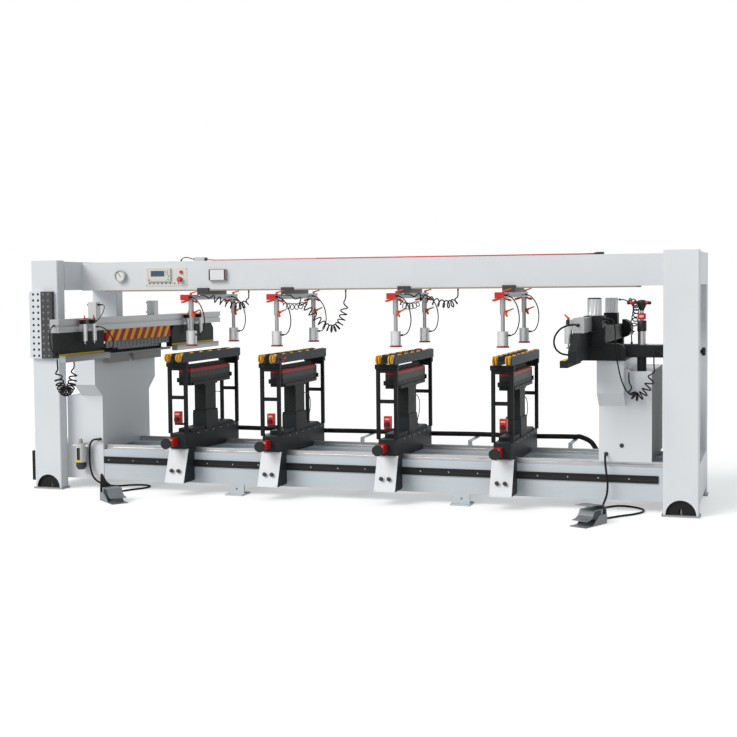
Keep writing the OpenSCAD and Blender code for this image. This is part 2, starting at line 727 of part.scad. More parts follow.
// Right column on its saddle, with the electrical cabinet beside it and two cable grommets
right_foot = guide_top + slide_gap;
right_mid = right_col_x + col_top_w / 2;
cabinet_top = 921;
grommets = [[48, 378], [148, 436]];
module right_column() {
    cabinet_x = right_col_x + col_top_w;
    color("whitesmoke") in_frame() {
        column_head(right_mid, col_top_w);
        sheet_box([right_col_x, cabinet_x - seam], [col_front, col_back], [right_foot, chamfer_z[0] - seam]);
        sheet_box([cabinet_x, right_col_x + right_col_w], [col_front, col_back + 50],
                  [right_foot, cabinet_top]);
    }
    color([0.15, 0.15, 0.16]) in_frame() for (g = grommets)
        translate([right_col_x + g[0], col_front - seam, g[1]]) rotate([90, 0, 0]) rotate_extrude()
            polygon([[0, 0], [14, 0], [14, 4], [9, 7], [0, 7]]);
    color("silver") in_frame() translate(right_drop) {
        upright(12, [0, 20]);
        translate([0, 0, 14]) along_x(12, [-28 + seam, 0]);
    }
}

// Right fence: base plate and gear housing on the column, lift cylinders, ledge, clamp, cross slide beam
gear_x = right_fence_x + 55;
cross_y = [115, 195];
cross_z = [plate_z, 1092];
cross_x = [1790, 2300];
crank_x = 2038;
crank_z = 1210;
gear_top = 1283;
module ribbed_cylinder(d, h) {
    difference() {
        cylinder(d = d, h = h);
        for (a = [0:45:315]) rotate(a) translate([d / 2, 0, 8]) cylinder(d = 9, h = h - 16);
    }
}

module right_fence() {
    gear_w = 150;
    gear_y = [-20, 1040];
    gear_z = 1105;
    mid_y = (cross_y[0] + cross_y[1]) / 2;
    color([0.2, 0.2, 0.21]) in_frame() {
        translate([gear_x + 105, 0, 0])
            block(gear_w + 150, [gear_y[0], col_back + col_over + 50], [col_top, plate_z]);
        translate([gear_x + gear_w / 2, 0, 0]) {
            block(gear_w, gear_y, [gear_z + seam, gear_top]);
            for (y = [gear_y[0], gear_y[1] - 80]) block(gear_w, [y, y + 80], [plate_z + seam, gear_z]);
            translate([0, 0, 1140]) along_y(120, [gear_y[0] - 24, gear_y[0] - seam]);
        }
        fence_housing(1, right_fence_x, [-fence_front, gear_y[0] - seam], 0);
        translate([(right_fence_x + housing_t + gear_x + 65) / 2, 0, 0])
            block(gear_x + 65 - right_fence_x - housing_t - 2 * seam, [-160, gear_y[0] - seam], [1130, 1180]);
        translate([(cross_x[0] + cross_x[1]) / 2, 0, 0])
            block(cross_x[1] - cross_x[0], cross_y, [cross_z[0] + seam, cross_z[1]]);
        translate([crank_x, mid_y, 0]) {
            upright(60, [cabinet_top, cross_z[0]]);
            upright(52, [cross_z[1] + seam, crank_z]);
        }
        translate([0, mid_y, 1050]) along_x(18, [cross_x[1] + seam, half_l - 5]);
        translate([half_l - 5, mid_y, 1050]) rotate(90) hand_knob(54, 35);
        translate(right_port) {
            upright(12, [0, 20]);
            translate([0, 0, 14]) along_y(12, [0, 45 - seam]);
        }
    }
    color("silver") in_frame() {
        for (y = [103, 990]) translate([gear_x + 65, y, gear_top + seam]) ribbed_cylinder(92, 107);
        translate([right_fence_x + 35, 0, 0])
            block(70, [-fence_front, gear_y[0] - seam], [fence_z + seam, fence_top]);
        translate([0, right_clamp_y, 0]) fence_clamp(1, right_fence_x);
    }
}

module right_drill_head() {
    color([0.25, 0.26, 0.28]) in_frame() side_head(1, right_fence_x, plate_z + slide_gap);
}

module right_clamp_rods() {
    color("silver") in_frame() translate([0, right_clamp_y, 0]) clamp_rod(1, right_fence_x);
}

// Crank of the height screw: screw with counter drum, cross handle with two grips
module right_crank() {
    mid_y = (cross_y[0] + cross_y[1]) / 2;
    color("crimson") in_frame() translate([crank_x, mid_y, crank_z + slide_gap]) {
        rotate_extrude() polygon([[0, 0], [12, 0], [12, 45], [26, 45], [26, 85], [14, 85], [14, 150],
                                  [24, 160], [24, 176], [0, 176]]);
        translate([0, 0, 160]) along_x(12, [-85, 85]);
        for (x = [-78, 78]) translate([x, 0, 160]) upright(24, [-8, 26]);
    }
}

// Foot pedals: a tray with side cheeks, and a treadle of folded sheet on a pin through the cheeks
pedal_places = [[-1535, -385, 50], [1770, -400, -25]];
pin_y = 70;
pin_z = 30;
pin_d = 8;
module at_pedal(k) {
    translate([pedal_places[k][0], pedal_places[k][1], 0]) rotate(pedal_places[k][2]) children();
}

module pedals() {
    color("slategray") in_frame() for (k = [0, 1]) at_pedal(k) {
        block(pedal_w + 10, [-pedal_l / 2, pedal_l / 2], [0, 4]);
        for (s = [-1, 1]) difference() {
            translate([s * (pedal_w / 2 + 2), 0, 0]) across(4)
                polygon([[-40, 4], [pedal_l / 2, 4], [pedal_l / 2, 60], [40, 60]]);
            translate([0, pin_y, pin_z]) along_x(pin_d, [-pedal_w, pedal_w]);
        }
        block(pedal_w, [pedal_l / 2 - 4, pedal_l / 2], [4, 50]);
        translate([0, pin_y, pin_z]) along_x(pin_d, [-pedal_w / 2 - 4, pedal_w / 2 + 4]);
    }
}

module treadle_outline() {
    polygon([[pin_y + 10, pin_z - 9], [pin_y + 10, 88], [pin_y + 4, 96], [-10, 96], [-16, 92], [-34, 60],
             [-60, 46], [-100, 40], [-100, 36], [-58, 41], [-31, 55], [-12, 88], [-8, 91], [pin_y - 10, 91],
             [pin_y - 10, pin_z - 9]]);
}

module treadle(k) {
    color("slategray") in_frame() at_pedal(k) difference() {
        across(pedal_w - 2) treadle_outline();
        translate([0, pin_y, pin_z]) along_x(pin_d + 2 * bore_gap, [-pedal_w, pedal_w]);
    }
}

module left_treadle() { treadle(0); }
module right_treadle() { treadle(1); }

// Free hoses: from the elbow and from the right column's grommet, along the floor to the pedals
function pedal_port(k, out) = let (q = pedal_places[k], reach = pedal_l / 2 + out)
    [q[0] - reach * sin(q[2]), q[1] + reach * cos(q[2]), 20];
left_hose_points = [elbow - [14, 0, 0], [-1938, 80, 372], [-1960, 80, 366], [-1978, 79, 349],
    [-1988, 78, 322], [-1990, 75, 250],
    [-1980, 68, 160], [-1948, 64, 85], [-1900, 110, 35], [-1835, 200, 10], [-1750, 280, 8],
    [-1660, 300, 8], [-1590, 260, 8], [-1585, 180, 8], [-1640, 90, 8], [-1690, -20, 8], [-1700, -120, 8],
    [-1688, -215, 12], pedal_port(0, 24), pedal_port(0, 0.02)];
right_hose_points = [[1815, col_front - 7 - seam, 378], [1815, 82, 378], [1815, 56, 372], [1816, 40, 354],
    [1818, 34, 326], [1824, 34, 270], [1832, 38, 200], [1826, 46, 120], [1800, 70, 50], [1782, 115, 15],
    [1800, 200, 8], [1870, 280, 8], [1960, 270, 8], [2040, 190, 8], [2050, 90, 8], [2000, -10, 8],
    [1930, -90, 8], [1872, -170, 8], [1845, -232, 14], pedal_port(1, 24), pedal_port(1, 0.02)];
module left_pedal_hose() {
    color([0.08, 0.08, 0.08]) in_frame() tube(led(left_hose_points, 4), pedal_hose_d, 8);
}
module right_pedal_hose() {
    color([0.08, 0.08, 0.08]) in_frame() tube(led(right_hose_points, 4), pedal_hose_d, 8);
}

// Coiled air hoses: from outlets under the beam to the press arms, and beside the fences
outlet_z = beam_z - 24;
outlet_y = beam_y + 70;
outlet_x = [arm1_x + 330, arm2_x + 420, arm3_x + 370];
arm_port_y = arm_y + 130;
function arm_end(k) = [arm_x[k] + arm_w / 2 + 14, arm_port_y, arm_top - 7];
function beam_outlet(k) = [outlet_x[k], outlet_y, outlet_z];
arm1_route = sagging(arm_end(0), [1, 0, 0], beam_outlet(0), [0, 0, -1], 60, 12);
arm2_route = sagging(arm_end(1), [1, 0, 0], beam_outlet(1), [0, 0, -1], 240, 19);
arm3_route = sagging(arm_end(2), [1, 0, 0], beam_outlet(2), [0, 0, -1], 50, 13);
left_port = [-left_fence_x - 25, -fence_front + 14, plate_z - 12];
left_drop = [-left_fence_x - 25, -fence_front + 232, plate_z - 12];
left_coil_route = looped(left_port, left_drop, 220, 15);
right_port = [crank_x + 85, cross_y[0] - 45, cross_z[0] + 26];
right_drop = [right_col_x + col_top_w + 28, 45, 916];
right_coil_route = looped(right_port, right_drop, 110, 8);
echo(arm1_hose_gap = least_gap(arm1_route, coil_hose_d), arm2_hose_gap = least_gap(arm2_route, coil_hose_d));
echo(arm3_hose_gap = least_gap(arm3_route, coil_hose_d));
echo(right_hose_gap = least_gap(right_coil_route, coil_hose_d));
echo(left_hose_gap = least_gap(left_coil_route, coil_hose_d));
module coil_hose(route) { color([0.08, 0.08, 0.08]) in_frame() tube(route, coil_hose_d, 6); }
module arm1_hose() { coil_hose(arm1_route); }
module arm2_hose() { coil_hose(arm2_route); }
module arm3_hose() { coil_hose(arm3_route); }
module left_fence_hose() { coil_hose(left_coil_route); }
module right_fence_hose() { coil_hose(right_coil_route); }

// Conduit behind the bed, from one end of the bed's rear face to the other over its saddles
conduit_points = [[-1620, bed_back + 0.02, 220], [-1620, 785, 220], [-1600, 890, 262], [-1540, 965, 338],
    [-1420, 985, 377], [-860, 985, conduit_z], [-480, 985, 377], [-75, 985, conduit_z], [340, 985, 376],
    [750, 985, conduit_z], [1100, 985, 376], [1400, 985, conduit_z], [1480, 985, conduit_z],
    [1520, 985, conduit_z], [1600, 965, 344], [1662, 890, 262], [1680, 785, 220],
    [1680, bed_back + 0.02, 220]];
module rear_conduit() {
    color([0.08, 0.08, 0.08]) in_frame() tube(led(conduit_points, 4), conduit_d, 10);
}

// Carriage of a boring unit: a long casting notched over the guide rails, lift base and guide posts
module carriage(k) {
    color([0.16, 0.17, 0.18]) in_frame() translate([unit_x[k], 0, 0]) {
        difference() {
            across(unit_w - 20) polygon([[cast_front, cast_nose_z], [bed_y - 6, cast_nose_z],
                [bed_y - 6, cast_floor], [cast_back, cast_floor], [cast_back, cast_top], [175, cast_top],
                [120, cast_nose_top], [cast_front, cast_nose_top]]);
            for (y = rail_y) block(unit_w, [y - rail_w / 2 - slide_gap, y + rail_w / 2 + slide_gap],
                                   [cast_floor - 1, guide_top + slide_gap]);
        }
        block(unit_w - 30, base_y, [cast_top + seam, base_top]);
        for (y = guide_y) translate([0, y, 0]) upright(guide_d, [base_top + seam, guide_top_z]);
    }
}

// Front panel box of a boring unit: sloped front with two knobs, red counter on the casting's nose
module front_panel(k) {
    lean = atan2(panel_head - panel_foot[0], cast_nose_z - panel_foot[1]);
    panel_back = bed_y - rack_t - 6;
    knob_z = 165;
    color("whitesmoke") in_frame() translate([unit_x[k], 0, 0]) {
        across(unit_w) polygon([panel_foot, [panel_back, panel_foot[1]], [panel_back, cast_nose_z],
                                [panel_head, cast_nose_z]]);
        for (x = [-28, 28]) translate([x, panel_foot[0] + (knob_z - panel_foot[1]) * tan(lean), knob_z])
            rotate([-lean, 0, 0]) translate([0, -seam, 0]) hand_knob(28, 30);
    }
    color("red") in_frame() translate([unit_x[k] - 22, 0, 0]) {
        difference() {
            block(48, [-93, cast_front], [360, 416]);
            translate([0, 0, 386]) along_y(14 + 2 * bore_gap, [-94, -53]);
        }
        translate([-20, 0, 0]) block(46, [cast_front - 40, cast_front - slide_gap], [535, 590]);
        translate([-20, cast_front - 40, 562]) hand_knob(34, 24);
    }
}

// Hand knob of a unit's drive, on a shaft that runs in the lower counter
module handwheel(k) {
    color([0.08, 0.08, 0.09]) in_frame() translate([unit_x[k] - 22, 0, 386]) {
        along_y(14, [-130, -55]);
        translate([0, -130, 0]) hand_knob(76, 44);
    }
}

// Support frame of a unit: four square posts with cross tubes, two roller rails with their rollers
module support_frame(k) {
    roller_z = rail_top + 12 - roller_d / 2;
    pocket = roller_d / 2 + 3;
    first = roller_rail_y[0] + 24;
    step = (roller_rail_y[1] - roller_rail_y[0] - 48) / (rollers - 1);
    color([0.13, 0.13, 0.14]) in_frame() translate([unit_x[k], 0, 0]) {
        for (s = [-1, 1]) {
            translate([s * stand_x, 0, 0]) block(tube_a, [stand_y[0] - tube_a / 2, stand_y[0] + tube_a / 2],
                                                 [cast_nose_top, stand_top]);
            translate([s * stand_x, 0, 0]) block(tube_a, [stand_y[1] - tube_a / 2, stand_y[1] + tube_a / 2],
                                                 [cast_top, stand_top]);
        }
        for (y = stand_y) for (z = [691, stand_top - tube_a])
            block(unit_w - 2 * tube_a - 2 * seam, [y - tube_a / 2, y + tube_a / 2], [z, z + tube_a]);
        for (y = stand_y)
            block(unit_w + 10, [y - 20, y + 20], [stand_top + seam, rail_top - roller_rail_h - seam]);
    }
    color([0.3, 0.34, 0.38]) in_frame() translate([unit_x[k], 0, 0]) for (s = [-1, 1])
        translate([s * roller_rail_x, 0, 0]) difference() {
            block(roller_rail_w, roller_rail_y, [rail_top - roller_rail_h, rail_top]);
            for (r = [0:rollers - 1]) translate([0, first + r * step, roller_z]) {
                block(roller_rail_w - 12, [-pocket, pocket], [-pocket, roller_d]);
                along_x(axle_d + 2 * bore_gap, [-roller_rail_w, roller_rail_w]);
            }
        }
    color("orange") in_frame() translate([unit_x[k], 0, 0]) for (s = [-1, 1]) for (r = [0:rollers - 1])
        translate([s * roller_rail_x, first + r * step, roller_z]) {
            along_x(roller_d, [-roller_rail_w / 2 + 7, roller_rail_w / 2 - 7]);
            along_x(axle_d, [-roller_rail_w / 2, roller_rail_w / 2]);
        }
}

// Boring head of a unit: spindle housing on its lift column, side flanges, strip with the spindle noses
module drill_head(k) {
    mid = gearbox_y + gearbox_l / 2;
    column_z = base_top + slide_gap;
    color([0.15, 0.15, 0.16]) in_frame() translate([unit_x[k], 0, 0]) {
        block(gearbox_w, [gearbox_y, gearbox_y + gearbox_l], [gearbox_z, gearbox_top]);
        block(gearbox_w + 16, [gearbox_y + 30, gearbox_y + gearbox_l - 30], [gearbox_z, gearbox_z + 22]);
        difference() {
            union() {
                block(gearbox_w - 4, [base_y[0] + 15, base_y[1] - 15], [column_z, gearbox_z - seam]);
                block(gearbox_w + 12, base_y, [column_z, column_z + 20]);
            }
            for (y = guide_y) translate([0, y, 0])
                upright(guide_d + 2 * bore_gap, [column_z - 1, guide_top_z + 10]);
        }
    }
    color("firebrick") in_frame() translate([unit_x[k], 0, 0])
        block(gearbox_w - 24, [gearbox_y, gearbox_y + gearbox_l], [gearbox_top + seam, gearbox_top + 4]);
    color("silver") in_frame() for (i = [0:spindles - 1])
        translate([unit_x[k], mid + (i - (spindles - 1) / 2) * pitch, gearbox_top + 4])
            rotate_extrude($fn = 24) polygon([[0, 0], [chuck_d / 2, 0], [chuck_d / 2, chuck_h - 3],
                                              [chuck_d / 2 - 2, chuck_h], [0, chuck_h]]);
}

// Press arm: extrusion on a hooked bracket under the beam, valve block, two stems with their cylinders
module arm_bracket() {
    hook = beam_y - strip_lip - slide_gap;
    back = portal_d - hook;
    outer = [hook - 12, back + 12];
    plate_top = strip_z - slide_gap;
    block(90, outer, [arm_top + seam, plate_top]);
    for (m = [0, 1]) translate([0, m * portal_d, 0]) mirror([0, m, 0]) {
        block(90, [outer[0], hook], [plate_top + seam, beam_z + 12]);
        block(90, [outer[0], beam_y - slide_gap], [beam_z + slide_gap, beam_z + 12]);
    }
}

module press_arm(k) {
    color("silver") in_frame() translate([arm_x[k], 0, 0]) {
        difference() {
            block(arm_w, [arm_y, arm_y + arm_l], [arm_z, arm_top]);
            for (s = [-1, 1]) translate([s * arm_w / 2, 0, 0])
                block(12, [arm_y - 1, arm_y + arm_l + 1], [arm_z + arm_h * 0.35, arm_z + arm_h * 0.6]);
        }
        for (y = stem_y) translate([0, y, 0]) {
            upright(38, [stem_z, arm_z - seam]);
            upright(28, [press_top + seam, stem_z]);
            difference() {
                upright(press_d, [press_z, press_top]);
                upright(rod_d + 2 * bore_gap, [press_z - 1, press_z + rod_reach + 6]);
                for (a = [45:90:315]) rotate(a) translate([press_d / 2, 0, 0])
                    upright(9, [press_z - 1, press_top + 1]);
            }
        }
        translate([arm_w / 2 + seam, arm_port_y, arm_top - 7]) along_x(12, [0, 14 - seam]);
    }
    color([0.14, 0.14, 0.15]) in_frame() translate([arm_x[k], 0, 0]) arm_bracket();
    color("crimson") in_frame() translate([arm_x[k], 0, 0])
        block(65, [arm_y - 52, arm_y - seam], [arm_z - 2, arm_top + 2]);
    color("orangered") in_frame() translate([arm_x[k], 0, 0]) for (y = stem_y) {
        translate([16, y - 36, arm_top + seam]) rotate(20) wing_lever(45);
        translate([19 + 8 + seam, y, stem_z + 12]) rotate(-20) wing_lever(50);
    }
}

// Press rods with their pads
module press_rods(k) {
    color("crimson") in_frame() translate([arm_x[k], 0, 0]) for (y = stem_y) translate([0, y, 0]) {
        upright(rod_d, [pad_z + pad_t, press_z + rod_reach]);
        upright(pad_d, [pad_z, pad_z + pad_t]);
    }
}

end_frames();
main_beam();
levelling_feet();
bed();
guide_rails();
rack_strip();
control_panel();
emergency_stop();
pressure_gauge();
perforated_plate();
air_filter();
left_column();
left_fence();
left_guard();
left_drill_head();
left_clamp_rods();
right_column();
right_fence();
right_drill_head();
right_clamp_rods();
right_crank();
pedals();
left_treadle();
right_treadle();
left_pedal_hose();
right_pedal_hose();
arm1_hose();
arm2_hose();
arm3_hose();
left_fence_hose();
right_fence_hose();
rear_conduit();
for (k = [0:3]) {
    carriage(k);
    front_panel(k);
    support_frame(k);
    drill_head(k);
    handwheel(k);
    press_arm(k);
    press_rods(k);
}
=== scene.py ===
import math

import bpy
import numpy as np
from mathutils import Matrix, Vector


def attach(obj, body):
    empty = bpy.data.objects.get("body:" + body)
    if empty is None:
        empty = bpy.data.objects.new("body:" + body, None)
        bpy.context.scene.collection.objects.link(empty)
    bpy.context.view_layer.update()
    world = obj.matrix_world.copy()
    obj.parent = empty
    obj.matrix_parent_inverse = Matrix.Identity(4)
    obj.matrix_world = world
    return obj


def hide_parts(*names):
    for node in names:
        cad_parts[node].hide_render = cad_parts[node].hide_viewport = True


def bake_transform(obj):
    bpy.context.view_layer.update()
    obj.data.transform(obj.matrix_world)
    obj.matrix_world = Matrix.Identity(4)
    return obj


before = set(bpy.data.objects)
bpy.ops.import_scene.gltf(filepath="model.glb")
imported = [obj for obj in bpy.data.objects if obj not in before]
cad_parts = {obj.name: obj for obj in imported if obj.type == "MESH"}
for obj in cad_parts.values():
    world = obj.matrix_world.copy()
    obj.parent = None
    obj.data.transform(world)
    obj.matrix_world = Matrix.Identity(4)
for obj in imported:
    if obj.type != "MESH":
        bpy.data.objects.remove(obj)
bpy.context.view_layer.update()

# Camera: a long lens at the operator's right, above the roller rails and looking slightly down along
# the row of boring units. The frame sits a little below the lens axis.
scene = bpy.context.scene
lens = bpy.data.cameras.new("camera")
lens.lens = 62.22
lens.sensor_width = 36.0
lens.shift_y = -0.0258
lens.clip_end = 300.0


def stand(name, data):
    """Puts an object with this data into the scene, at the origin."""
    made = bpy.data.objects.new(name, data)
    scene.collection.objects.link(made)
    return made


camera = stand("camera", lens)
camera.matrix_world = (
    Matrix.Translation((2.8859, -9.0320, 1.4815))
    @ Matrix.Rotation(0.3121, 4, "Z")
    @ Matrix.Rotation(math.pi / 2 - 0.0489, 4, "X")
    @ Matrix.Rotation(-0.0093, 4, "Z")
)
scene.camera = camera
scene.view_settings.view_transform = "Standard"


# Studio: a white floor without an edge, an even sky and one large soft lamp high at the front left.
# The floor and the sky read as white to the lens and in reflections, and the floor keeps the shadow.
def arithmetic(operation, swapped=False):
    """A method of a value that adds one Math node, its terms the other way round if swapped."""

    def method(value, other):
        terms = (other, value) if swapped else (value, other)
        return value.math(operation, *terms)

    return method


class Value:
    """A number that varies: a socket whose arithmetic adds Math nodes to the tree it belongs to."""

    def __init__(self, tree, socket):
        self.tree = tree
        self.socket = socket

    def math(self, operation, *terms):
        made = self.tree.node("ShaderNodeMath", dict(enumerate(terms)), operation=operation)
        return Value(self.tree, made.outputs[0])

    __add__ = __radd__ = arithmetic("ADD")
    __sub__ = arithmetic("SUBTRACT")
    __rsub__ = arithmetic("SUBTRACT", swapped=True)
    __mul__ = __rmul__ = arithmetic("MULTIPLY")
    __mod__ = arithmetic("FLOORED_MODULO")
    __gt__ = arithmetic("GREATER_THAN")
    __lt__ = arithmetic("LESS_THAN")
    __or__ = arithmetic("MAXIMUM")

    def __abs__(self):
        return self.math("ABSOLUTE", self)

    def within(self, low, high):
        """1 between two numbers and 0 outside them."""
        return (self > low) * (self < high)


class Shade:
    """A node tree and the one way its nodes are added: the kind, its sockets, then its settings."""

    def __init__(self, owner):
        owner.use_nodes = True
        self.tree = owner.node_tree
        self.tree.nodes.clear()

    def node(self, kind, sockets, **settings):
        made = self.tree.nodes.new(kind)
        for name, setting in settings.items():
            setattr(made, name, setting)
        for key, given in sockets.items():
            given = given.socket if isinstance(given, Value) else given
            if isinstance(given, bpy.types.NodeSocket):
                self.tree.links.new(given, made.inputs[key])
            else:
                made.inputs[key].default_value = given
        return made

    def seen(self):
        """1 for rays from the lens and for rays that mirror or pass through a surface."""
        rays = self.node("ShaderNodeLightPath", {})
        kinds = ("Is Camera Ray", "Is Glossy Ray", "Is Transmission Ray")
        camera_ray, glossy_ray, through_ray = (Value(self, rays.outputs[kind]) for kind in kinds)
        return camera_ray | glossy_ray | through_ray


sky = bpy.data.worlds.new("studio_sky")
scene.world = sky
air = Shade(sky)
even = air.node("ShaderNodeBackground", {"Color": (0.92, 0.99, 1.0, 1.0), "Strength": 0.46})
white = air.node("ShaderNodeBackground", {"Color": (1.0, 1.0, 1.0, 1.0), "Strength": 1.0})
both = air.node("ShaderNodeMixShader", {0: air.seen(), 1: even.outputs[0], 2: white.outputs[0]})
air.node("ShaderNodeOutputWorld", {"Surface": both.outputs[0]})

lamp = bpy.data.lights.new("soft_lamp", "SUN")
lamp.energy = 2.05
lamp.angle = 0.6
lamp.color = (1.0, 0.97, 0.94)
lamp_from = Vector((-0.46, -0.66, 0.6))
stand("soft_lamp", lamp).rotation_euler = lamp_from.to_track_quat("Z", "Y").to_euler()

floor_paint = bpy.data.materials.new("floor_white")
ground = Shade(floor_paint)
matt = ground.node("ShaderNodeBsdfDiffuse", {"Color": (0.8, 0.8, 0.8, 1.0)})
glow = ground.node("ShaderNodeEmission", {"Strength": ground.seen() * 0.42})
lit = ground.node("ShaderNodeAddShader", {0: matt.outputs[0], 1: glow.outputs[0]})
ground.node("ShaderNodeOutputMaterial", {"Surface": lit.outputs[0]})
floor_mesh = bpy.data.meshes.new("floor")
far, floor_z = 60, -0.0004
floor_rim = [(x, y, floor_z) for x, y in ((-far, -far), (far, -far), (far, far), (-far, far))]
floor_mesh.from_pydata(floor_rim, [], [(0, 1, 2, 3)])
floor_mesh.materials.append(floor_paint)
floor = stand("floor", floor_mesh)


# End frames, main beam and columns: folded and welded sheet steel, powder coated off white.
# The left post has a black strip screwed to its side, and the beam carries hose outlets below and two
# small junction boxes on top.
class Finish(Shade):
    """A finish laid on in coats: each covers a masked part with its own colour, roughness and metal.

    The slot given for new pieces is kept, but nothing uses it.
    """

    def __init__(self, name, colour, rough, metal=0.0, slot=None):
        self.material = bpy.data.materials.new(name)
        self.slot = slot
        self.joined = False
        super().__init__(self.material)
        self.place = self.node("ShaderNodeTexCoord", {}).outputs["Object"]
        split = self.node("ShaderNodeSeparateXYZ", {0: self.place})
        self.x, self.y, self.z = (Value(self, socket) for socket in split.outputs)
        self.colour = (*colour, 1.0)
        self.rough = rough
        self.metal = metal
        self.height = 0.0
        self.gloss = 0.5

    def inside(self, x, z):
        """1 inside a range of X and a range of Z."""
        return self.x.within(*x) * self.z.within(*z)

    def cloud(self, size, stretch=(1.0, 1.0, 1.0), detail=3.0):
        """Noise from 0 to 1 in patches of about that size in metres, drawn out along the axes."""
        scaled = self.node("ShaderNodeVectorMath", {0: self.place, 1: [size * s for s in stretch]},
                           operation="DIVIDE")
        made = self.node("ShaderNodeTexNoise",
                         {"Vector": scaled.outputs[0], "Scale": 1.0, "Detail": detail})
        return Value(self, made.outputs["Fac"])

    def coat(self, mask, colour, rough=None, metal=None):
        """Covers the masked part with a colour, and with a roughness and metal if given."""
        made = self.node("ShaderNodeMix", {0: mask, 6: self.colour, 7: (*colour, 1.0)},
                         data_type="RGBA")
        self.colour = made.outputs[2]
        if rough is not None:
            self.rough = (rough - self.rough) * mask + self.rough
        if metal is not None:
            self.metal = (metal - self.metal) * mask + self.metal

    def drift(self, amount, size, stretch=(1.0, 1.0, 1.0)):
        """Lets the colour run lighter and darker by that share, and the roughness with it."""
        patch = self.cloud(size, stretch)
        made = self.node("ShaderNodeMix", {0: 1.0, 6: self.colour, 7: 1 + (patch - 0.5) * (2 * amount)},
                         data_type="RGBA", blend_type="MULTIPLY")
        self.colour = made.outputs[2]
        self.rough = self.rough + (patch - 0.5) * amount

    def relief(self, height):
        """Adds to the surface height in metres."""
        self.height = self.height + height

    def done(self):
        """The material; the first call joins its coats in one shader, the height by a Bump node."""
        if self.joined:
            return self.material
        self.joined = True
        sockets = {"Base Color": self.colour, "Roughness": self.rough, "Metallic": self.metal,
                   "Specular IOR Level": self.gloss}
        if isinstance(self.height, Value):
            bump = {"Strength": 1.0, "Distance": 1.0, "Height": self.height}
            sockets["Normal"] = self.node("ShaderNodeBump", bump).outputs[0]
        skin = self.node("ShaderNodeBsdfPrincipled", sockets)
        self.node("ShaderNodeOutputMaterial", {"Surface": skin.outputs[0]})
        return self.material


def dress(finish, *names):
    """Gives these CAD nodes a finish."""
    for name in names:
        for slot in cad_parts[name].material_slots:
            slot.material = finish.done()


front = -0.775
powder_white = (0.735, 0.755, 0.79)
soft_black = (0.02, 0.02, 0.022)


def powder_coat(name, colour=powder_white):
    """Powder coat with a fine orange peel, slow changes of tone, and dust low down on the sheet."""
    coat = Finish(name, colour, 0.4)
    coat.drift(0.035, 0.5)
    low = (coat.z < 0.3) * (0.3 - coat.z) * 3.0 * coat.cloud(0.08)
    coat.coat(low * 0.22, (0.42, 0.4, 0.36), 0.7)
    coat.relief(coat.cloud(0.0035, detail=1.0) * 0.00004)
    return coat


posts = powder_coat("post_powder_coat")
posts.coat(posts.x < -2.4101, soft_black, 0.55)
dress(posts, "end_frames")

beam = powder_coat("beam_powder_coat")
beam.coat(beam.z < 1.4749, (0.05, 0.05, 0.055), 0.35, 0.6)
beam.coat((beam.z > 1.6872) * (beam.x < 0), (0.55, 0.57, 0.58), 0.5)
beam.coat((beam.z > 1.6872) * (beam.x > 0), soft_black, 0.5)
dress(beam, "main_beam")

dress(powder_coat("left_column_powder_coat"), "left_column")

column = powder_coat("right_column_powder_coat")
ahead = column.y < front + 0.1049
column.coat(ahead * (column.z < 0.5), soft_black, 0.6)
column.coat(ahead * (column.x > 1.9392), (0.45, 0.46, 0.47), 0.35, 0.9)
# Cabinet's right side: dark slate; its black front band is a dark gap with painted shadow.
column.coat(column.x > 2.1076, (0.055, 0.062, 0.068), 0.5)
column.coat((column.x > 2.1076) * (column.y < front + 0.125), soft_black, 0.5)
dress(column, "right_column")


# Levelling feet: plates, studs and nuts in zinc plated steel, dulled by floor dust. A black sheet,
# notched for the stud, stands behind each foot arch as painted shade for its dark inside, and a black
# strip guards the left post's edge.
feet = Finish("zinc_plate", (0.34, 0.35, 0.36), 0.42, 0.85)
feet.drift(0.12, 0.03)
feet.coat(feet.cloud(0.05) * 0.5, (0.3, 0.28, 0.25), 0.75, 0.3)
dress(feet, "levelling_feet")


def moulded(name, colour, rough=0.35, slot="black_plastic"):
    """Moulded plastic: even colour with a faint drift and a fine grain."""
    plastic = Finish(name, colour, rough, 0.0, slot)
    plastic.gloss = 0.3
    plastic.drift(0.05, 0.02)
    plastic.relief(plastic.cloud(0.0012, detail=1.0) * 0.00002)
    return plastic


def rings(rows, sides):
    """Faces of a closed tube: quads between the rings of a grid, and a flat face over each end."""
    i, j = np.meshgrid(np.arange(rows - 1), np.arange(sides), indexing="ij")
    k = (j + 1) % sides
    quads = np.stack([i * sides + j, i * sides + k, (i + 1) * sides + k, (i + 1) * sides + j], -1)
    ends = np.stack([np.arange(sides)[::-1], (rows - 1) * sides + np.arange(sides)])
    return quads.reshape(-1, 4), ends


def machine(points):
    """Points in metres from the machine's millimetres, whose Y counts from the front of the posts."""
    return np.asarray(points, float) / 1000 + (0, front, 0)


def bar(axis, start, stop, outline, placed=machine):
    """An outline carried straight along an axis: its corners at one end and again at the other."""
    flat = np.asarray(outline, float)[::-1 if axis == 1 else 1]
    ends = [np.insert(flat, axis, station, axis=1) for station in (start, stop)]
    return placed(np.concatenate(ends)), *rings(2, len(flat))


def edges(a, b, cut=0.0):
    """Corners of a rectangle between two ranges, each cut off by a small bevel."""
    (a0, a1), (b0, b1) = a, b
    if not cut:
        return [(a0, b0), (a1, b0), (a1, b1), (a0, b1)]
    return [(a0 + cut, b0), (a1 - cut, b0), (a1, b0 + cut), (a1, b1 - cut),
            (a1 - cut, b1), (a0 + cut, b1), (a0, b1 - cut), (a0, b0 + cut)]


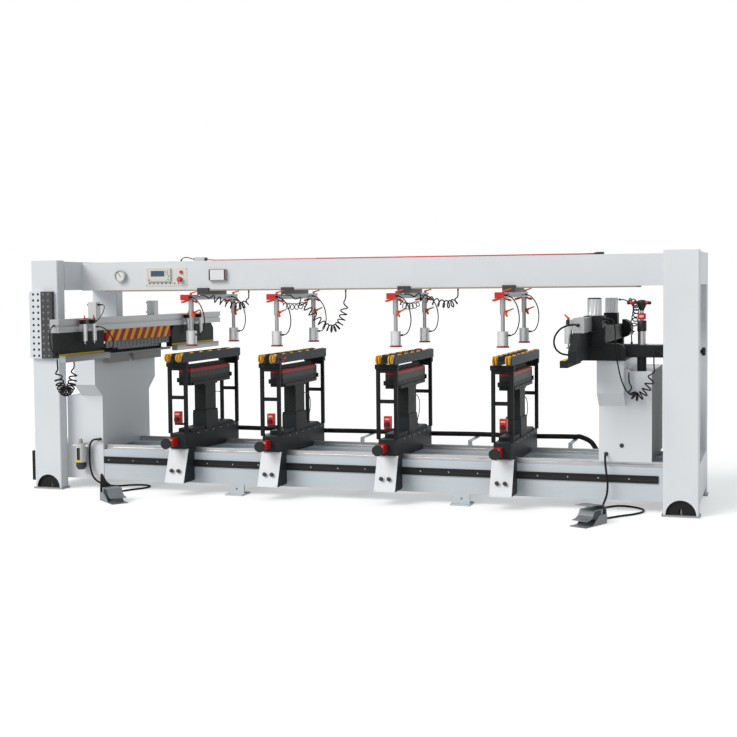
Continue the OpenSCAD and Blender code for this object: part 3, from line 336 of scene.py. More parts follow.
def piece(name, parts, finish, body="frame", node=None):
    """One object from several closed surfaces, riding on a body; it can stand for a CAD node."""
    points, faces, count = [], [], 0
    for part, quads, ends in parts:
        points.append(part)
        faces += (quads + count).tolist() + (ends + count).tolist()
        count += len(part)
    mesh = bpy.data.meshes.new(name)
    mesh.from_pydata(np.concatenate(points).tolist(), [], faces)
    mesh.polygons.foreach_set("use_smooth", np.ones(len(mesh.polygons), bool))
    mesh.set_sharp_from_angle(angle=math.radians(40))
    mesh.materials.append(finish.done())
    made = stand(name, mesh)
    if body:
        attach(made, body)
    if node:
        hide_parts(node)
    return made


shade_and_strip_black = moulded("arch_shade_and_strip", (0.006, 0.006, 0.007), 0.7)


def arch_shade_sheet(side, y, gap):
    """Black sheet behind a foot arch, put there as painted shade for the arch's dark inside: an outline
    with a notch for the stud, carried along Y.
    """
    x0, x1 = sorted((side * 2196, side * 2400))
    low, high = 13, 116
    notch = [(gap - 13, low), (gap - 13, 48), (gap + 13, 48), (gap + 13, low)]
    return bar(1, y, y + 3, [(x0, low), *notch, (x1, low), (x1, high), (x0, high)])


# Painted shade: black sheets behind the foot arches darken their insides.
sheets = [arch_shade_sheet(-1, 20, -2281), arch_shade_sheet(1, 20, 2298),
          arch_shade_sheet(-1, 1028, -2298), arch_shade_sheet(1, 1028, 2298)]
piece("arch_shade_panels", sheets, shade_and_strip_black)
strip_end = edges((-2436, -2410.2), (4, 39.8), 3)
piece("post_edge_strip", [bar(2, 62, 282, strip_end)], shade_and_strip_black)


# Bed: two welded box beams painted pale grey blue, with galvanised saddles behind for the conduit.
# The guide rails are ground bars on the bed, the strips under the beam bronze coloured flats.
bed = powder_coat("bed_powder_coat", (0.585, 0.64, 0.69))
bed.coat(bed.y > front + 0.7501, (0.42, 0.44, 0.45), 0.4, 0.8)
dress(bed, "bed")

rails = Finish("ground_bar", (0.52, 0.52, 0.53), 0.32, 0.85)
rails.drift(0.1, 0.02, (30.0, 1.0, 1.0))
rails.coat((rails.cloud(0.03, (6.0, 1.0, 1.0)) > 0.62) * 0.35, (0.3, 0.25, 0.23), 0.6, 0.4)
rails.coat(rails.z > 1.0, (0.3, 0.24, 0.2), 0.45, 0.7)
dress(rails, "guide_rails")


# Rack strip: a blackened flat with milled teeth on its lower edge, held by bright button head screws
# that sit in its counterbores.
strip = Finish("blackened_flat", (0.019, 0.02, 0.02), 0.48)
strip.gloss = 0.15
strip.drift(0.15, 0.05, (8.0, 1.0, 1.0))
strip.coat((strip.z % 0.05).within(0.013, 0.0145), (0.06, 0.06, 0.06), 0.3)
dress(strip, "rack_strip")

up, down = (0, 0, 1), (0, 0, -1)
fore, aft = (0, -1, 0), (0, 1, 0)
left, right = (-1, 0, 0), (1, 0, 0)


def unit(v):
    """Vectors scaled to length 1."""
    v = np.asarray(v, float)
    return v / np.linalg.norm(v, axis=-1, keepdims=True)


def turned(profile, centres, axis, sides):
    """Turned form: each radius and height of the profile is a ring round the axis, at every centre."""
    profile, centres, axis = np.asarray(profile, float), np.atleast_2d(centres), unit(axis)
    side = unit(np.cross(axis, up if abs(axis[2]) < 0.9 else right))
    turn = np.linspace(0, 2 * np.pi, sides, endpoint=False)[:, None]
    ring = np.cos(turn) * side + np.sin(turn) * np.cross(axis, side)
    one = profile[:, 0, None, None] * ring + profile[:, 1, None, None] * axis
    quads, ends = rings(len(profile), sides)
    step = one.shape[0] * sides
    shift = np.arange(len(centres))[:, None, None] * step
    points = (one.reshape(1, -1, 3) + centres[:, None]).reshape(-1, 3)
    return points, (quads + shift).reshape(-1, 4), (ends + shift).reshape(-1, sides)


bright_screw = Finish("bright_screw", (0.52, 0.53, 0.54), 0.28, 0.95, "steel")
bright_screw.drift(0.1, 0.004)
button = [(0.0044, 0.0), (0.0046, 0.0015), (0.004, 0.0028), (0.0026, 0.0034), (0.0022, 0.002)]
screw_gap = 0.2
screw_x = [*np.arange(-1.846, 1.311, screw_gap), *np.arange(1.362, 2.141, screw_gap)]
screw_at = [(x, front + 0.1059, 0.218) for x in screw_x]
piece("rack_screws", [turned(button, screw_at, fore, 12)], bright_screw)


# Control panel: a beige plate on the beam with a display housing, a row of round keys, a push button,
# and a white switch box beside it. All moulded in plastic and held by small screws.
panel = Finish("panel_moulding", (0.74, 0.73, 0.69), 0.42)
panel.drift(0.02, 0.05)
deep = panel.y
raised = deep < front + 0.3434
inset = panel.inside((-1.5902, -1.4778), (1.5748, 1.6172))
housing = panel.inside((-1.6191, -1.4289), (1.5369, 1.6351)) * raised
panel.coat(housing, (0.6, 0.6, 0.55), 0.45)
rim = panel.inside((-1.61, -1.438), (1.545, 1.627)) * (deep < front + 0.3296)
panel.coat(rim, (0.68, 0.68, 0.62), 0.4)
panel.coat(inset * (deep > front + 0.33), (0.045, 0.075, 0.135), 0.12)
lines = (panel.z % 0.014).within(0.004, 0.0085) * panel.x.within(-1.583, -1.485)
lines = lines * (panel.cloud(0.004) > 0.5)
panel.coat(inset * lines * (deep > front + 0.332), (0.1, 0.15, 0.23), 0.12)
keys = panel.z.within(1.5185, 1.5295) * (deep < front + 0.3432)
panel.coat(keys, (0.045, 0.035, 0.04), 0.4)
push = panel.inside((-1.358, -1.332), (1.594, 1.62)) * raised
panel.coat(push, (0.62, 0.012, 0.016), 0.25)
collar = panel.inside((-1.368, -1.332), (1.534, 1.57)) * raised
panel.coat(collar, (0.4, 0.41, 0.42), 0.3, 0.9)
switch_box = panel.x > -1.2
panel.coat(switch_box, (0.8, 0.82, 0.84), 0.35)
from_middle = abs(panel.x + 1.047)
box_rim = (from_middle > 0.0585) | (abs(panel.z - 1.582) > 0.0365)
panel.coat(switch_box * box_rim, (0.3, 0.25, 0.22), 0.4)
side_slots = (abs(from_middle - 0.06) < 0.0041) * panel.z.within(1.5459, 1.6181)
panel.coat(side_slots * (deep > front + 0.3216), (0.035, 0.035, 0.065), 0.4)
panel.relief(panel.cloud(0.001, detail=1.0) * 0.00002)
dress(panel, "control_panel")

corner = [(x, front + 0.3435, z) for x in (-1.632, -1.312) for z in (1.515, 1.633)]
piece("panel_screws", [turned(button, corner, fore, 12)], bright_screw)

lamp_cap = [(0.0052, 0.0), (0.0052, 0.002), (0.0045, 0.0034), (0.0026, 0.0042), (0.0008, 0.0044)]
cap_y = front + 0.3295
piece("stop_key", [turned(lamp_cap, [(-1.606, cap_y, 1.551)], fore, 16)],
      moulded("key_red", (0.55, 0.02, 0.05), slot="red_plastic"))
piece("start_keys", [turned(lamp_cap, [(-1.449, cap_y, 1.552), (-1.447, cap_y, 1.578)], fore, 16)],
      moulded("key_green", (0.05, 0.45, 0.12), slot="panel_grey"))
pad_grid = [(x, cap_y, z) for x in (-1.466, -1.452) for z in (1.592, 1.604, 1.616)]
pad = [(0.0048, 0.0), (0.0044, 0.0016), (0.003, 0.002)]
piece("display_keys", [turned(pad, pad_grid, fore, 4)],
      moulded("key_slate", (0.3, 0.3, 0.38), slot="panel_grey"))


# Emergency stop: a red moulded mushroom head on its plunger, with a pale ring round its middle.
stop = moulded("stop_red", (0.66, 0.02, 0.012), 0.25)
stop_x, stop_z = stop.x + 1.35, stop.z - 1.552
from_axis = stop_x * stop_x + stop_z * stop_z
stop.coat(from_axis.within(0.00003, 0.00007) * (stop.y < front + 0.312), (0.8, 0.3, 0.26), 0.3)
dress(stop, "emergency_stop")


# Pressure gauge: a plated case with a white dial printed with a scale of ticks, and a black needle.
gauge = Finish("gauge_dial", (0.8, 0.81, 0.82), 0.35)
gauge_x, gauge_z = gauge.x + 1.846, gauge.z - 1.583
reach = gauge_x * gauge_x + gauge_z * gauge_z
angle = gauge_x.math("ARCTAN2", gauge_x, gauge_z)
sweep, tick_gap, ink = 2.36, 0.236, (0.02, 0.02, 0.02)
swept = abs(angle) < sweep
scale = swept * reach.within(0.00084, 0.00118)
gauge.coat(scale * ((angle + sweep) % tick_gap).within(0.0, 0.055), ink)
gauge.coat(reach.within(0.00118, 0.00123) * swept, ink)
gauge.coat((reach < 0.0016) * (gauge.y < front + 0.323), ink, 0.4)
gauge.coat((reach > 0.00134) * (gauge.y > front + 0.3), (0.48, 0.46, 0.43), 0.25, 0.85)
dress(gauge, "pressure_gauge")


# Perforated plate: a folded sheet on the left post, white on its left half; the black on its right half
# is painted shadow. Black discs in the left holes paint the shade inside them, and grey discs in the
# right ones the shaded post face seen through them.
holes = powder_coat("plate_powder_coat")
# The right half's black is painted shadow.
holes.coat((holes.x > -2.3135) * (holes.y < front - 0.0001), (0.035, 0.036, 0.04), 0.5)
dress(holes, "perforated_plate")

hole_rows = 1.2235 + 0.0455 * np.arange(-5, 6)
hole_disc_y = front - 0.0265
black_shade_at = [(x, hole_disc_y, z) for x in (-2.37625, -2.33475) for z in hole_rows]
black_shade_disc = [(0.0122, 0.0), (0.0122, 0.0018), (0.0108, 0.0028), (0.0098, 0.0012)]
# Black discs in the left holes paint the shade inside them.
piece("plate_hole_black_shade", [turned(black_shade_disc, black_shade_at, fore, 20)],
      moulded("hole_black_shade", (0.012, 0.012, 0.013), 0.45))
grey_shade_at = [(x, hole_disc_y, z) for x in (-2.29325, -2.25175) for z in hole_rows]
grey_shade_disc = [(0.0108, 0.0), (0.0108, 0.0014), (0.0092, 0.0022)]
# Grey discs in the right holes paint the shaded post face seen through them.
piece("plate_hole_grey_shade", [turned(grey_shade_disc, grey_shade_at, fore, 20)],
      moulded("hole_grey_shade", (0.2, 0.205, 0.21), 0.45, "panel_grey"))


# Air filter: a die cast head over a white body with a sight window, a dark bowl below, and the elbow on
# the column that feeds the left pedal.
case = Finish("filter_casting", (0.56, 0.57, 0.56), 0.38, 0.25)
case.drift(0.08, 0.03)
case.coat(case.z < 0.2049, (0.03, 0.03, 0.032), 0.3)
case.coat(case.z.within(0.2051, 0.226) * (case.x < -2.03), (0.75, 0.55, 0.02), 0.4)
window = case.inside((-2.059, -2.033), (0.222, 0.313))
case.coat(window * (case.y < front + 0.03), (0.03, 0.03, 0.035), 0.3)
case.coat((case.z > 0.3452) * (case.x < -2.02), (0.3, 0.31, 0.32), 0.4)
case.coat(case.x > -1.96, soft_black, 0.45)
dress(case, "air_filter")


# Left fence: an anodised extrusion along the machine with two lift cylinders on top and four clamp
# cylinders in front, each with a black neck and an orange lever.
def anodised(name, colour=(0.4, 0.41, 0.42), along=(1.0, 30.0, 1.0)):
    """Anodised aluminium with the die lines of an extrusion along one axis."""
    metal = Finish(name, colour, 0.4, 0.75, "aluminium")
    metal.drift(0.1, 0.006, along)
    metal.relief(metal.cloud(0.003, along, 1.0) * 0.00003)
    return metal


lever_orange = (0.8, 0.085, 0.012)
fence = anodised("left_fence_extrusion")
fence.coat(fence.z > 1.27805, (0.52, 0.53, 0.53), 0.42, 0.6)
clamp = fence.x > -1.8399
fence.coat(clamp, (0.66, 0.67, 0.68), 0.32, 0.7)
fence.coat(clamp * (fence.z > 1.2381), soft_black, 0.4)
fence.coat(clamp * (fence.z > 1.2681), lever_orange, 0.35, 0.0)
dress(fence, "left_fence")


# Guard side of the left fence: charcoal housings and base plate, a guard painted with red and yellow
# warning stripes, a ribbed grey apron (its ribs drawn as dark lines of painted shade) and two hanger
# plates under it, and grey ledges edged in yellow.
charcoal = (0.017, 0.019, 0.02)
slate = (0.052, 0.067, 0.077)


def enamel(name, colour=charcoal):
    """Machine enamel over a casting: an uneven gloss, rubbed spots and the grain of the casting."""
    paint = Finish(name, colour, 0.5, 0.0, "charcoal")
    paint.gloss = 0.12
    paint.drift(0.16, 0.06)
    paint.coat((paint.cloud(0.012) > 0.66) * 0.15, (0.045, 0.048, 0.05), 0.42)
    paint.relief(paint.cloud(0.004) * 0.00012)
    return paint


guard = enamel("left_guard_enamel")
span = guard.y.within(front + 0.0799, front + 1.1151)
cover = span * (guard.z > 1.0999) * guard.x.within(-1.8725, -1.8315)
stripe = ((guard.y - guard.z * 0.75) % 0.112) < 0.064
apron = span * (guard.z < 1.0999) * (guard.x > -1.8495)
guard.coat(apron, (0.34, 0.36, 0.37), 0.5, 0.1)
# Dark lines across the apron paint the shade between its ribs.
guard.coat(apron * ((guard.y % 0.015) < 0.0045), (0.15, 0.16, 0.165), 0.55)
guard.coat(cover, (0.86, 0.55, 0.03), 0.45)
guard.coat(cover * stripe, (0.5, 0.01, 0.02), 0.45)
guard.coat((guard.x > -1.8399) * (1 - span), (0.3, 0.32, 0.33), 0.4, 0.5)
ledge_edge = guard.x.within(-1.8405, -1.8395) * (guard.z < 1.036) * (1 - span)
guard.coat(ledge_edge, (0.75, 0.5, 0.02), 0.45)
base_end = (guard.x < -1.8402) * (guard.z < 1.0099) * (guard.y < front + 0.05)
guard.coat(base_end, (0.3, 0.3, 0.31), 0.3, 0.9)
dress(guard, "left_guard")

ledge_metal = anodised("ledge_extrusion", (0.34, 0.36, 0.37))
under_ledge = edges((-1839.8, -1790.2), (980.0, 1009.9), 1.5)
piece("left_ledges", [bar(1, -560, 55, under_ledge), bar(1, 1155, 1960, under_ledge)], ledge_metal)
hanger = moulded("hanger_plate_grey", (0.25, 0.25, 0.24), 0.5, "panel_grey")
hanger_edge = edges((-1852, -1840), (938, 994.8), 1.5)
piece("left_hangers", [bar(1, 105, 430, hanger_edge), bar(1, 505, 960, hanger_edge)], hanger)


# Horizontal boring heads: charcoal spindle housings behind the aprons with steel spindle noses, their
# steel darkened as painted shade for the gap between the apron and the lower ledge.
# The noses' dark steel is partly painted shade.
nose_steel_and_shade = (0.14, 0.14, 0.145)
left_head = enamel("left_head_enamel")
left_head.coat(left_head.x > -1.9039, nose_steel_and_shade, 0.36, 0.9)
dress(left_head, "left_drill_head")
right_head = enamel("right_head_enamel")
right_head.coat(right_head.x < 1.6839, nose_steel_and_shade, 0.36, 0.9)
dress(right_head, "right_drill_head")


# Left clamp rods: bright steel, each with a black rubber foot.
rods = Finish("clamp_rod_steel", (0.55, 0.56, 0.57), 0.22, 0.95)
rods.drift(0.06, 0.01)
rods.coat(rods.z < 1.0981, soft_black, 0.6, 0.0)
dress(rods, "left_clamp_rods")


# Right fence: iron castings on a base plate over the right column. A gear housing with two towers
# carries the lift cylinders, a sloped arm in front a ledge and a clamp, a cross slide the height screw.
def disc(steps, centre, axis, sides=32):
    """Turned form about an axis at a point of the machine, its radii and heights in millimetres."""
    return turned(np.asarray(steps, float) / 1000, machine(centre), axis, sides)


def fluted(radius, depth, count, low, high, x, y):
    """Upright ribbed barrel: going round, the radius dips by a narrow bell curve at each flute."""
    turn = np.linspace(0, 2 * np.pi, count * 8, endpoint=False)
    off = (turn * count / (2 * np.pi) + 0.5) % 1 - 0.5
    flute = 0.16
    dip = radius - depth * np.exp(-((off / flute) ** 2))
    z = np.array([low, low + 6, low + 8, high - 8, high - 6, high])[:, None]
    reach = np.where((z > low + 7) & (z < high - 7), dip, radius)
    points = np.stack([x + reach * np.cos(turn), y + reach * np.sin(turn), z + 0 * reach], -1)
    return machine(points.reshape(-1, 3)), *rings(len(z), len(turn))


def lever(x, y, z, length, turn):
    """Clamping lever: a hub, and a handle whose rising outline is carried across its thickness."""
    turn = math.radians(turn)
    run = np.array([0, length * 0.5, length + 3, length + 5, length, length * 0.5, 0])
    rise = np.array([16, length * 0.25 + 11, length * 0.45 + 10, length * 0.42 + 5,
                     length * 0.42, length * 0.22, 3])
    thick = np.array([-3.5, 3.5])[:, None]
    points = np.stack([x + run * math.cos(turn) - thick * math.sin(turn),
                       y + run * math.sin(turn) + thick * math.cos(turn), z + rise + 0 * thick], -1)
    handle = machine(points.reshape(-1, 3)), *rings(2, len(run))
    hub = disc([(7, 0), (8, 1.5), (8, 14.5), (6.5, 16)], (x, y, z), up, 20)
    return [handle, hub]


half_turn = np.radians(np.linspace(-90, 90, 25))
shoulder = np.stack([1825 + 65 * np.cos(half_turn), 1172 + 65 * np.sin(half_turn)], 1)
front_foot = [(1675, 1010), (1950, 1010), (1950, 1060), (1943, 1082), (1927, 1098), (1905, 1105),
              (1675, 1105)]
front_arm = [(-560, 1010), (-20, 1010), (-20, 1185), (-370, 1185), (-560, 1080)]
cap_at = (1770, -20, 1140)
right_iron = [
    bar(2, 995, 1010, edges((1630, 1950), (-20, 995), 2)),
    bar(1, -20, 1040, edges((1675, 1825), (1105, 1205), 3)),
    bar(2, 1205, 1283, edges((1685, 1805), (-20, 185), 3)),
    bar(2, 1205, 1283, edges((1692, 1788), (925, 1040), 3)),
    bar(2, 1010, 1105, edges((1675, 1825), (960, 1040), 2)),
    bar(1, -20, 60, front_foot), bar(1, 900, 1040, shoulder), bar(0, 1670, 1720, front_arm),
    bar(1, -560, -20, edges((1620, 1670), (980, 1024), 2)),
    bar(0, 1790, 2300, edges((115, 295), (1010, 1092), 3)),
    disc([(30, 0), (30, 89)], (2038, 155, 921), up),
    disc([(54, 0), (55, 2), (55, 21), (52, 24)], cap_at, fore, 48),
    disc([(32, 24), (32, 33), (29, 36)], cap_at, fore, 40)]
castings = enamel("right_fence_enamel")
castings.coat((castings.z > 1.0916) * (castings.x > 2.07), (0.42, 0.47, 0.52), 0.35, 0.6)
piece("right_castings", right_iron, castings, "right_end", "right_fence")

barrels = anodised("lift_cylinder_extrusion", (0.6, 0.61, 0.62), (1.0, 1.0, 30.0))
clamp_body = disc([(22, 0), (24, 2), (24, 104), (19, 108), (19, 120)], (1640, -350, 1118), up)
lifts = [fluted(46, 4, 12, 1283, 1390, 1740, y) for y in (103, 990)]
piece("right_lift_cylinders", lifts + [clamp_body], barrels, "right_end")
grooved = [(1670, 1185), (1740, 1185), (1740, 1278), (1670, 1278), (1670, 1239), (1682, 1239),
           (1682, 1225), (1670, 1225)]
rail_stop = edges((1650, 1670), (-370, -330), 2)
piece("right_clamp_rail", [bar(1, -370, -20, grooved), bar(2, 1205, 1269, rail_stop)],
      anodised("right_rail_extrusion"), "right_end")
ground_steel = Finish("ground_steel", (0.46, 0.46, 0.47), 0.28, 0.95, "steel")
ground_steel.drift(0.08, 0.006)
piece("right_pillar", [disc([(26, 0), (26, 88)], (2038, 155, 1092), up),
                       disc([(9, 0), (9, 105)], (2300, 155, 1050), right, 20)],
      ground_steel, "right_end")
trim_black = moulded("right_trim_black", (0.014, 0.014, 0.015), 0.45)
socket = [(8, 0), (8, 18), (5, 22)]
piece("right_black_trim", [
    disc([(29, 0), (30, 2), (30, 66), (27, 70)], (2038, 155, 1180), up),
    disc([(40, 0), (45, 2), (45, 6), (38, 9)], (1740, 103, 1390), up),
    disc([(15, 0), (15, 26), (11, 30)], (1640, -350, 1238), up, 24),
    disc([(12, 0), (12, 8), (25, 12), (27, 16), (27, 29), (22, 35)], (2405, 155, 1050), right, 24),
    disc([(6, 0), (6, 20)], (2123, 70, 1036), up, 16),
    disc([(6, 0), (6, 45)], (2123, 70, 1050), aft, 16),
    disc(socket, (1805, 60, 1262), right, 16),
    disc(socket, (1805, 150, 1240), right, 16)], trim_black, "right_end")
lever_moulding = moulded("lever_moulding", lever_orange, slot="red_plastic")
piece("right_clamp_lever", lever(1640, -350, 1268, 55, 120), lever_moulding, "right_end")
piece("right_ledge_strip", [bar(1, -558, -250, edges((1626, 1656), (1024, 1027), 0.8))],
      moulded("strip_yellow", (0.8, 0.6, 0.02), slot="red_plastic"), "right_end")
rod_steps = [(13, 0), (13, 12), (5, 12), (5, 128)]
piece("right_clamp_rod", [disc(rod_steps, (1640, -350, 1086), up, 24)],
      ground_steel, "right_clamps", "right_clamp_rods")


# Height screw crank: a steel screw with a red counter drum, a coned black hub and three arms with
# red grips.
hub_at, spokes_at = (2038, 155, 1250.5), (2038, 155, 1364)
screw_part = [disc([(12, 0), (12, 6)], hub_at, up),
              disc([(12, 44), (14, 50), (12, 62)], hub_at, up)]
piece("crank_screw", screw_part, ground_steel, "crank", "right_crank")
drum = moulded("drum_red", (0.62, 0.014, 0.012), 0.3, "crank_red")
window = drum.inside((2.024, 2.052), (1.27, 1.284)) * (drum.y < front + 0.14)
drum.coat(window, (0.62, 0.62, 0.6), 0.3)
piece("crank_drum", [disc([(24, 5), (26, 7), (26, 43), (24, 45)], hub_at, up, 40)],
      drum, "crank")
spokes = [(math.cos(math.radians(a)), math.sin(math.radians(a)), 0.0) for a in (70, 190, 310)]
cone = [(12, 62), (33, 106), (35, 112), (35, 120), (20, 131), (6, 133)]
black_parts = [disc(cone, hub_at, up, 40)]
for steps in ([(7, 20), (7, 50)], [(9, 76), (11, 80), (11, 90), (8, 95)]):
    black_parts += [disc(steps, spokes_at, way, 16) for way in spokes]
piece("crank_hub", black_parts, trim_black, "crank")
grip_steps = [(9, 46), (10.5, 50), (10.5, 74), (9, 76)]
piece("crank_grips", [disc(grip_steps, spokes_at, way, 16) for way in spokes],
      moulded("grip_red", (0.6, 0.014, 0.012), 0.3, "crank_red"), "crank")


# Foot pedals: trays and treadles of folded sheet in grey hammer finish, worn brighter on the tread. The
# right one has a bent hood over it, and the left one a black fin standing up behind it: a dark plate
# whose black is also painted shadow.
def hammer_grey(name):
    """Hammer finish: small pits in a grey paint."""
    paint = Finish(name, (0.2, 0.22, 0.235), 0.42, 0.2, "pedal_grey")
    pits = paint.cloud(0.006, detail=1.0)
    paint.coat((pits > 0.55) * 0.4, (0.3, 0.32, 0.335), 0.32)
    paint.relief(pits * 0.0004)
    return paint


pedal_paint = hammer_grey("pedal_hammer_grey")
dress(pedal_paint, "pedals")
tread = hammer_grey("treadle_hammer_grey")
tread.coat((tread.z > 0.094) * tread.cloud(0.02) * 0.6, (0.42, 0.42, 0.42), 0.35, 0.6)
dress(tread, "left_treadle", "right_treadle")


def on_pedal(points, pedal):
    """Points in a pedal's own millimetres, turned and set down with the pedal."""
    x, y, turn = pedal
    c, s = math.cos(math.radians(turn)), math.sin(math.radians(turn))
    across, along, rise = np.asarray(points, float).T
    return np.stack([x + across * c - along * s, y + across * s + along * c, rise], 1)


left_pedal = (-1535, -385, 50)
right_pedal = (1770, -400, -25)
bends = np.array([(118, 50.2), (118, 76), (112, 97), (95, 114), (64, 123), (20, 127), (-30, 128),
                  (-60, 128), (-72, 133)])
sheet = 3
run = unit(np.gradient(bends, axis=0))
hood = np.concatenate([bends, (bends + sheet * np.stack([-run[:, 1], run[:, 0]], 1))[::-1]])
fin = [(-57, 50.2), (57, 50.2), (54, 92), (22, 104), (-8, 130), (-34, 182), (-46, 188), (-52, 180)]
over_right = bar(0, -57, 57, hood, lambda points: machine(on_pedal(points, right_pedal)))
piece("right_pedal_hood", [over_right], pedal_paint)
behind_left = bar(1, 116.2, 119.8, fin, lambda points: machine(on_pedal(points, left_pedal)))
# The fin is a dark plate; its black also paints the shadow it stands in.
piece("left_pedal_fin", [behind_left], trim_black)


# Boring units: a long cast carriage on the rails with chromed lift posts and a slide on top. In front
# hangs a charcoal box with a pale sloped plate and two knobs, under red counters.
unit_grey = (0.021, 0.026, 0.029)
carriage_enamel = enamel("carriage_enamel", unit_grey)
carriage_enamel.coat(carriage_enamel.z > 0.55801, (0.55, 0.56, 0.57), 0.18, 0.95)
front_enamel = enamel("front_box_enamel", unit_grey)
pale_plate = moulded("control_plate", (0.75, 0.77, 0.8), 0.38, "panel_grey")
counter_red = moulded("counter_red", (0.6, 0.016, 0.012), 0.32, "red_plastic")
window_pale = moulded("counter_window", (0.5, 0.5, 0.48), 0.2, "gauge_white")
knob_black = moulded("knob_black", (0.014, 0.014, 0.015), 0.42)
unit_x = (-1.218, -0.501, 0.352, 1.15)
units = list(enumerate(1000 * np.array(unit_x), 1))
lean = 88 / 237
slope = unit((0.0, -1.0, lean))
box_side = [(-85.5, 97), (96, 97), (96, 334), (2.4, 334)]
plate_side = [(-87.4, 97), (-85.4, 97), (2.6, 334), (0.6, 334)]
casting_nose = [(-15, 372.2), (119.8, 372.2), (174.8, 444), (-15, 444)]
slide_side = [(100, 444.2), (850, 444.2), (850, 458), (800, 470), (100, 470)]
knob = [(8, 0), (8, 6), (13, 8), (14, 10), (14, 20), (12, 25), (5, 26)]
counter_knob = [(10, 0), (10, 5), (17, 7), (17, 20), (14, 24)]
knob_z = 178
rib_y = (200, 330, 460, 590, 720, 850)


def plate_y(z):
    """Y of the sloped plate's face at a height."""
    return -87.4 + (z - 97) * lean


for k, x in units:
    body = f"unit{k}"
    dress(carriage_enamel, f"unit{k}_carriage")
    dress(knob_black, f"unit{k}_handwheel")
    shelf = bar(0, x - 12, x + 50, edges((-36, 0), (508, 522), 2))
    piece(f"unit{k}_front_box", [bar(0, x - 75, x + 75, box_side), shelf],
          front_enamel, body, f"unit{k}_front_panel")
    piece(f"unit{k}_plate", [bar(0, x - 75, x + 75, plate_side)], pale_plate, body)
    piece(f"unit{k}_slide", [bar(0, x - 60, x + 60, casting_nose), bar(0, x - 50, x + 50, slide_side)],
          carriage_enamel, body)
    counters = [bar(0, x - 46, x + 2, edges((-93, -15), (360, 416), 4)),
                bar(0, x - 14, x + 34, edges((-40, 0), (522, 606), 4))]
    piece(f"unit{k}_counters", counters, counter_red, body)
    windows = [bar(0, x - 38, x - 6, edges((-93.8, -92.8), (401, 410))),
               bar(0, x - 6, x + 26, edges((-40.8, -39.8), (582, 592)))]
    piece(f"unit{k}_windows", windows, window_pale, body)
    knobs = [disc(knob, (x + s, plate_y(knob_z), knob_z), slope, 20) for s in (-27, 27)]
    knobs += [disc(counter_knob, (x + 10, -40, 550), fore, 24)]
    piece(f"unit{k}_knobs", knobs, knob_black, body)
    corners = machine([(x + s * 67, plate_y(z), z) for s in (-1, 1) for z in (106, 325)])
    heads = [turned(button, corners, slope, 10)]
    for side in (-1, 1):
        heads += [turned(button, machine([(x + side * 59.9, y, 428) for y in rib_y]), (side, 0, 0), 10)]
    piece(f"unit{k}_screws", heads, bright_screw, body)


# Support frames: black square tube welded up over the carriage, slate roller channels on top with
# yellow moulded rollers in them, and a pair of larger yellow wheels in front of each channel.
tube_black = enamel("square_tube_black", (0.013, 0.013, 0.014))
rail_slate = enamel("roller_channel_slate", slate)
roller_yellow = moulded("roller_yellow", (0.86, 0.42, 0.012), 0.35, "red_plastic")
roller_yellow.coat((roller_yellow.cloud(0.01) > 0.6) * 0.35, (0.45, 0.22, 0.02), 0.5)
roller = [(4, -19), (4, -13), (16, -13), (18, -11), (18, 11), (16, 13), (4, 13), (4, 19)]
wheel = [(10, -16), (10, -13.6), (26, -13.6), (29, -11), (29, -7), (26, -4.4), (10, -4.4),
         (10, 4.4), (26, 4.4), (29, 7), (29, 11), (26, 13.6), (10, 13.6), (10, 16)]
half = 12.5
for k, x in units:
    body = f"unit{k}"
    tubes, channels, rolling = [], [], []
    for y in (-2.5, 893.5):
        across = (y - half, y + half)
        for c in (x - 62.5, x + 62.5):
            tubes.append(bar(2, 444.2, 923, edges((c - half, c + half), across, 2)))
        tubes += [bar(0, x - 50, x + 50, edges(across, (z, z + 2 * half), 2)) for z in (691, 898)]
        tubes.append(bar(0, x - 80, x + 80, edges((y - 20, y + 20), (923, 956), 2)))
    for c in (x - 32, x + 55):
        trough = [(c - 20, 956.2), (c + 20, 956.2), (c + 20, 1018), (c + 14, 1018), (c + 14, 1000),
                  (c - 14, 1000), (c - 14, 1018), (c - 20, 1018)]
        channels += [bar(1, -60, 948, trough), bar(0, c - 4, c + 4, edges((-105, -58), (979, 1007), 4))]
        rolling += [disc(roller, (c, y, 1004), right, 24) for y in -36 + 160 * np.arange(7)]
        rolling += [disc(wheel, (c, -93, 993), right, 32)]
    piece(f"unit{k}_tubes", tubes, tube_black, body, f"unit{k}_support_frame")
    piece(f"unit{k}_channels", channels, rail_slate, body)
    piece(f"unit{k}_rollers", rolling, roller_yellow, body)
piece("unit2_stop_lever", lever(-501 + 84, 20, 972, 42, -35), lever_moulding, "unit2")


# Boring heads: a black spindle housing with a slate cover band, a thick red seal strip and blackened
# noses. Its end lugs and the flange over its lift column are bolted on.
boring_head = enamel("boring_head_enamel", (0.016, 0.0175, 0.0175))
boring_head.coat(boring_head.z.within(0.836, 0.8785), (0.03, 0.033, 0.036), 0.42)
seams = (boring_head.y - front - 0.12) % 0.064
marks = boring_head.z.within(0.852, 0.86) * seams.within(0.0, 0.007)
boring_head.coat(marks, (0.17, 0.165, 0.18), 0.4)
boring_head.coat(boring_head.z.within(0.8785, 0.9041), (0.42, 0.008, 0.012), 0.4)
boring_head.coat(boring_head.z > 0.9041, (0.06, 0.06, 0.062), 0.34, 0.7)
for k, x in units:
    dress(boring_head, f"unit{k}_drill_head")
    lugs = [bar(0, x - 55, x + 55, edges((y, y + 18), (804, 836), 3)) for y in (94.5, 807.5)]
    flange = bar(0, x - 48, x + 48, edges((340, 570), (768, 779.8), 2))
    piece(f"unit{k}_head_lugs", lugs + [flange], boring_head, f"head{k}")


# Press arms: an anodised extrusion hooked under the beam by a black bracket, a red valve block in
# front, two telescopic stems with their press cylinders, and orange levers.
arm_x = (-1.166, -0.501, 0.378, 1.126)


